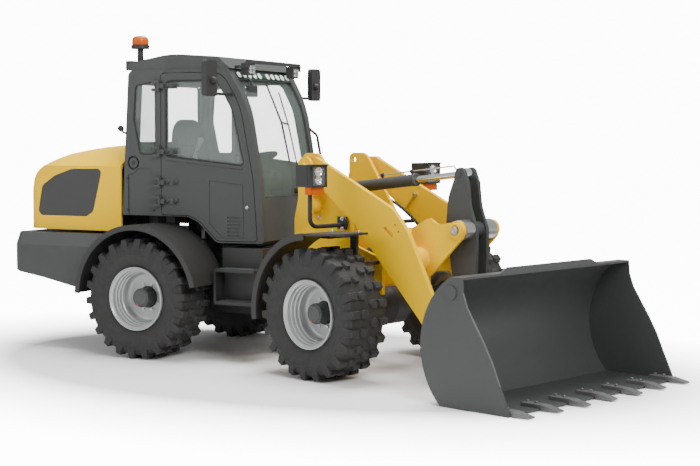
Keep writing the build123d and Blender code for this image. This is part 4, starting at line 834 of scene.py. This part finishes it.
for name, way in bothSides:
    y, face, low = way * lamp["track"], lamp["face"], lamp["low"]
    high = low + lamp["height"]
    bezel = Form()
    for (y0, z0), (y1, z1) in lamp["strips"]:
        bezel.block((face - lamp["bezelBack"], y + y0, low + z0),
                    (face + lamp["bezelFront"], y + y1, low + z1))
    bezel.block((face - lamp["visorReach"], y - lamp["visorHalf"], high - lamp["visorBelow"]),
                (face + lamp["visorReach"], y + lamp["visorHalf"], high + lamp["visorAbove"]))
    makePiece(name + "_lamp_bezel", bezel, *onFront, blackPlastic, 2)
    cups = Form()
    for up, radius in lamp["cups"]:
        spot = (face - lamp["cupIn"], y, low + up)
        cups.turned([(3, radius), (-1, radius * 0.9), (-9, radius * 0.45), (-10.5, 0)], spot, forward, 32)
        cups.turned(lamp["bulb"], spot, forward, 20)
    makePiece(name + "_lamp_cups", cups, *onFront, lampInside)
    x, y, z = lamp["footPlace"]
    flange = Form().turned(lamp["foot"], (x, way * y, z), (0, way, 0), 36)
    makePiece(name + "_lamp_foot", flange, *onFront, blackFrame, 2)
    frontRows += [((x, way * y, z), upward, forward) for x, y, z in frontBolts["top"]]
setMany("front_frame_bolts", hexBolt, frontRows, *onFront, pinSteel, frontBolts["size"])
setMany("arm_pin_heads", pinHead, bothRows(armPin["spots"]), *onFront, pinSteel, armPin["size"])
print("front frame dressed")

# lift arm: plates at the cross tube, collars and heads on the pins, small bolts, hose with its clamp
tubePlates = {
    "outline": [(1330, 1120), (1352, 1136), (1478, 985), (1500, 930), (1468, 940), (1440, 968)],
    "places": (-112, -18), "half": 6,
    "cover": [(1328, 1124), (1352, 1138), (1430, 1050), (1406, 1036)], "coverFrom": -118, "coverTo": -12,
}
crankPin = {
    "collarSpots": [(1920, 220, 1150)], "headSpots": [(1920, 230, 1150)], "headSize": 0.95,
    "collar": [(0, 40), (0, 58), (5, 60), (9, 56), (9, 40)],
}
armBolts = {"spots": ((1440, 365, 1180), (1475, 365, 1130)), "size": 0.35}
hoseClamp = {
    "low": (-9, -7, -70), "high": (9, 7, 70), "place": (985, 317, 1325), "lean": math.radians(42),
    "eye": ((1030, 300, 1377), (1030, 325, 1377)), "eyeRadius": 17,
}
hitchPin = {"spots": [(1960, 379, 300)], "size": 0.9}
hose = {
    "points": ((575, 1382), (650, 1366), (757, 1331), (857, 1284), (968, 1216), (1076, 1130), (1130, 1078)),
    "y": 309, "radius": 12, "steps": 6, "fitting": 17, "fittingIn": 14, "armFace": 326,
}
plates = Form()
for y in tubePlates["places"]:
    plates.plate(tubePlates["outline"], y - tubePlates["half"], y + tubePlates["half"])
plates.plate(tubePlates["cover"], tubePlates["coverFrom"], tubePlates["coverTo"])
makePiece("tube_plates", plates, *onArm, yellowPaint, 2)
collars = Form()
for spot, facing, across in bothRows(crankPin["collarSpots"]):
    collars.turned(crankPin["collar"], spot, facing, 40, True)
makePiece("crank_pin_collars", collars, *onArm, yellowPaint, 1)
headRows = bothRows(crankPin["headSpots"])
setMany("crank_pin_heads", pinHead, headRows, frontFrame, "bell_crank_pin", pinSteel, crankPin["headSize"])
setMany("arm_small_bolts", domeBolt, bothRows(armBolts["spots"]), *onArm, blackFrame, armBolts["size"])
clamp = Form().block(hoseClamp["low"], hoseClamp["high"])
clamp.mesh.transform(Matrix.Translation(hoseClamp["place"]) @ Matrix.Rotation(hoseClamp["lean"], 4, "Y"))
clamp.rod(*hoseClamp["eye"], hoseClamp["eyeRadius"], 2, 18)
makePiece("hose_clamp", clamp, *onArm, pinSteel, 2)
hitchRows = bothRows(hitchPin["spots"])
setMany("hitch_pin_heads", pinHead, hitchRows, frontFrame, "hitch_pins", pinSteel, hitchPin["size"])
# the hose is a smooth curve through its points
knots = [Vector((x, hose["y"], z)) for x, z in hose["points"]]
knots = [knots[0] * 2 - knots[1]] + knots + [knots[-1] * 2 - knots[-2]]
hoseLine = []
for before, start, end, after in zip(knots, knots[1:], knots[2:], knots[3:]):
    for step in range(hose["steps"]):
        t = step / hose["steps"]
        square = 2 * before - 5 * start + 4 * end - after
        cube = 3 * start - before - 3 * end + after
        hoseLine.append(0.5 * (2 * start + (end - before) * t + square * t ** 2 + cube * t ** 3))
hoseLine.append(knots[-2])
armHose = bar("arm_hose", hoseLine, 0, hose["radius"], *onArm, rubberSeal)
hosePath = [frontFrame @ point for point in hoseLine]
hoseLength = sum((b - a).length for a, b in zip(hosePath, hosePath[1:]))
fittings = Form()
for point in (hoseLine[0], hoseLine[-1]):
    ends = [(point.x, y, point.z) for y in (hose["y"] - hose["fittingIn"], hose["armFace"])]
    fittings.rod(*ends, hose["fitting"], 2, 18)
makePiece("hose_fittings", fittings, *onArm, pinSteel)
print("lift arm dressed")

# tilt cylinder: gland and end ring, bucket level rod with its guides; lift cylinders: glands
tilt = {
    "start": (500, 0, 1424), "end": (1827, 0, 1570),
    "gland": [(812, 27), (812, 50), (816, 52), (836, 52), (840, 48), (840, 27)],
    "endRing": [(60, 46), (60, 52), (84, 52), (84, 46)],
    "guides": (470, 790), "postFrom": 40, "postTo": 78, "postRadius": 9, "eyeHalf": 12, "eyeRadius": 15,
    "rodFrom": 430, "rodBend": 1230, "rodTo": 1250, "rodUp": 70, "rodEndUp": 40, "rodRounds": [0, 15, 0],
    "rodRadius": 6,
}
lift = {
    "start": (420, 155, 720), "end": (1490, 155, 1110),
    "gland": [(884, 26), (884, 53), (888, 55), (908, 55), (912, 50), (912, 26)],
}
tiltStart = Vector(tilt["start"])
tiltWay = (Vector(tilt["end"]) - tiltStart).normalized()
tiltUp = Vector((-tiltWay.z, 0, tiltWay.x))


def onTilt(along, up):
    return tiltStart + tiltWay * along + tiltUp * up


gland = Form().turned(tilt["gland"], tiltStart, tiltWay, 40, True)
gland.turned(tilt["endRing"], tiltStart, tiltWay, 40, True)
makePiece("tilt_gland", gland, frontFrame, "tilt_barrel", greyPaint, 1)
guide = Form()
for at in tilt["guides"]:
    guide.rod(onTilt(at, tilt["postFrom"]), onTilt(at, tilt["postTo"]), tilt["postRadius"], 1, 16)
    near, far = (onTilt(at + shift, tilt["rodUp"]) for shift in (-tilt["eyeHalf"], tilt["eyeHalf"]))
    guide.rod(near, far, tilt["eyeRadius"], 2, 20)
makePiece("level_rod_guides", guide, frontFrame, "tilt_barrel", blackFrame)
levelRod = [
    onTilt(tilt["rodFrom"], tilt["rodUp"]), onTilt(tilt["rodBend"], tilt["rodUp"]),
    onTilt(tilt["rodTo"], tilt["rodEndUp"])]
bar("level_rod", levelRod, tilt["rodRounds"], tilt["rodRadius"], frontFrame, "tilt_rod", rodChrome)
for name, way in bothSides:
    start, end = (Vector((x, way * y, z)) for x, y, z in (lift["start"], lift["end"]))
    glands = Form().turned(lift["gland"], start, end - start, 40, True)
    makePiece(name + "_lift_gland", glands, frontFrame, "lift_barrels", greyPaint, 1)
print("cylinders dressed")

# bucket: tooth bolts, wear strips along the side plates
bucket = {
    "reach": 946.7, "teeth": 7, "boltPlaces": (2925, 3000), "boltZ": 46, "boltSize": 1.2,
    "strip": ((2650, 795), (2685, 700), (2828, 480), (2902, 354), (3040, 40)),
    "stripFrom": 985, "stripTo": 999, "stripX": 3, "stripZ": 2,
}
toothRows = []
for number in range(bucket["teeth"]):
    y = -bucket["reach"] + 2 * bucket["reach"] * number / (bucket["teeth"] - 1)
    toothRows += [((x, y, bucket["boltZ"]), upward, forward) for x in bucket["boltPlaces"]]
setMany("tooth_bolts", hexBolt, toothRows, frontFrame, "bucket", wornSteel, bucket["boltSize"])
strips = Form()
dx, dz = bucket["stripX"], bucket["stripZ"]
for name, way in bothSides:
    near, far = way * bucket["stripFrom"], way * bucket["stripTo"]
    strips.between([
        [(x - dx, near, z - dz), (x + dx, near, z + dz), (x + dx, far, z + dz), (x - dx, far, z - dz)]
        for x, z in bucket["strip"]])
makePiece("bucket_edge_strips", strips, frontFrame, "bucket", wornSteel, 0.8)
print("bucket dressed")

# steps: raised grip bars on the treads
steps = {
    "grip": ((-150, -5, -3), (150, 5, 5)), "x": -235, "treads": (500, 765),
    "first": 580, "pitch": 20, "count": 6,
}
gripBar = pattern("grip_bar", Form().block(*steps["grip"]), 1.5)
gripRows = []
for name, way in bothSides:
    for z in steps["treads"]:
        for number in range(steps["count"]):
            y = way * (steps["first"] + steps["pitch"] * number)
            gripRows.append(((steps["x"], y, z), upward, forward))
setMany("step_grips", gripBar, gripRows, *onRear, greyPaint)
print("steps dressed")

# beacon: ribbed amber dome; work lamps: light spots
beacon = {
    "place": (-1300, -490, 2638.3), "rib": ((68.5, -2, 4), (71.5, 2, 44)), "ribs": 24,
    "profile": [(0, 0), (0, 70), (46, 70), (62, 64), (72, 52), (78, 34), (78, 0)],
}
dome = Form().turned(beacon["profile"], beacon["place"], upward, 48)
makePiece("beacon_dome", dome, *onRear, amberLens, 2, "beacon")
rib = pattern("beacon_rib", Form().block(*beacon["rib"]), 0.6)
ribRows = []
for number in range(beacon["ribs"]):
    angle = 2 * math.pi * number / beacon["ribs"]
    ribRows.append((beacon["place"], upward, (math.cos(angle), math.sin(angle), 0)))
setMany("beacon_ribs", rib, ribRows, *onRear, amberLens)
workLamp = {
    "dot": [(0, 0), (0, 15), (3, 14), (5, 9), (6, 0)], "across": (-24, 24), "up": (-18, 18),
    "front": (-252, 369, 2410), "rear": (-1430, 480, 2465), "rearSquash": 0.8,
}
ledDot = pattern("led_dot", Form().turned(workLamp["dot"], (0, 0, 0), upward, 16))
ledRows = []
for name, way in bothSides:
    for dy in workLamp["across"]:
        for dz in workLamp["up"]:
            x, y, z = workLamp["front"]
            ledRows.append(((x, way * y + dy, z + dz), forward, leftward))
            x, y, z = workLamp["rear"]
            ledRows.append(((x, way * y + dy, z + dz * workLamp["rearSquash"]), (-1, 0, 0), leftward))
setMany("work_lamp_leds", ledDot, ledRows, *onRear, lampInside)
print("beacon and lamps dressed")
for spare in patterns:
    bpy.data.objects.remove(spare)

# camera as in the photograph, pale floor, soft studio light
view = {"place": (5.987, -10.471, 1.83), "turn": 27.76, "down": 3.78, "lens": 72.77, "sensor": 36, "far": 300}
cameraData = bpy.data.cameras.new("photo_camera")
cameraData.sensor_width = view["sensor"]
cameraData.lens = view["lens"]
cameraData.clip_end = view["far"]
camera = bpy.data.objects.new("photo_camera", cameraData)
camera.location = pivotPlace @ Vector(view["place"])
camera.rotation_euler = (math.radians(90 - view["down"]), 0, math.radians(view["turn"]))
bpy.context.scene.collection.objects.link(camera)
bpy.context.scene.camera = camera

# the floor glows for the camera alone, away from the machine, so that its shadow stays
studio = {
    "floor": 160, "floorColor": (0.86, 0.86, 0.86), "floorRough": 0.8, "floorGlow": 12.0, "sky": 0.62,
    "backdrop": 12.0, "dark": (0.27, 0.42, 0), "near": 0.74, "fade": 1.6,
}
bpy.ops.mesh.primitive_plane_add(size=studio["floor"])
floor = bpy.context.object
floor.name = "studio_floor"
floorFinish = Finish("studio_floor", studio["floorColor"], studio["floorRough"])
floorFinish.put("Emission Strength", studio["floorGlow"])
scaled = floorFinish.node(
    "ShaderNodeVectorMath", {"operation": "MULTIPLY"}, i0=floorFinish.place(), i1=studio["dark"])
away = floorFinish.node("ShaderNodeVectorMath", {"operation": "LENGTH"}, output="Value", i0=scaled)
glow = floorFinish.node("ShaderNodeClamp", i0=(away - studio["near"]) * studio["fade"])
cameraRay = floorFinish.node("ShaderNodeLightPath", output="Is Camera Ray")
floorFinish.put("Emission Color", floorFinish.blend(glow * cameraRay, (0, 0, 0), (1, 1, 1)))
floor.data.materials.append(floorFinish.material)

world = bpy.data.worlds.new("studio")
world.use_nodes = True
sky = Graph(world.node_tree)
seen = sky.node("ShaderNodeLightPath", output="Is Camera Ray")
backdrop = world.node_tree.nodes["Background"]
backdrop.inputs["Color"].default_value = (1, 1, 1, 1)
sky.join(studio["sky"] + seen * studio["backdrop"], backdrop.inputs["Strength"])
bpy.context.scene.world = world

lamps = {
    "key": {"place": (8.0, -6.0, 7.5), "size": 4.0, "power": 1050},
    "fill": {"place": (-7.0, -9.0, 5.0), "size": 6.0, "power": 300},
    "top": {"place": (0.0, 1.0, 9.0), "size": 5.0, "power": 1250},
}
aim = Vector((0, 0, 1))
for name, settings in lamps.items():
    lightData = bpy.data.lights.new(name, "AREA")
    lightData.size = settings["size"]
    lightData.energy = settings["power"]
    light = bpy.data.objects.new(name, lightData)
    light.location = settings["place"]
    light.rotation_euler = (aim - Vector(settings["place"])).to_track_quat("-Z", "Y").to_euler()
    bpy.context.scene.collection.objects.link(light)
print("camera and light set")
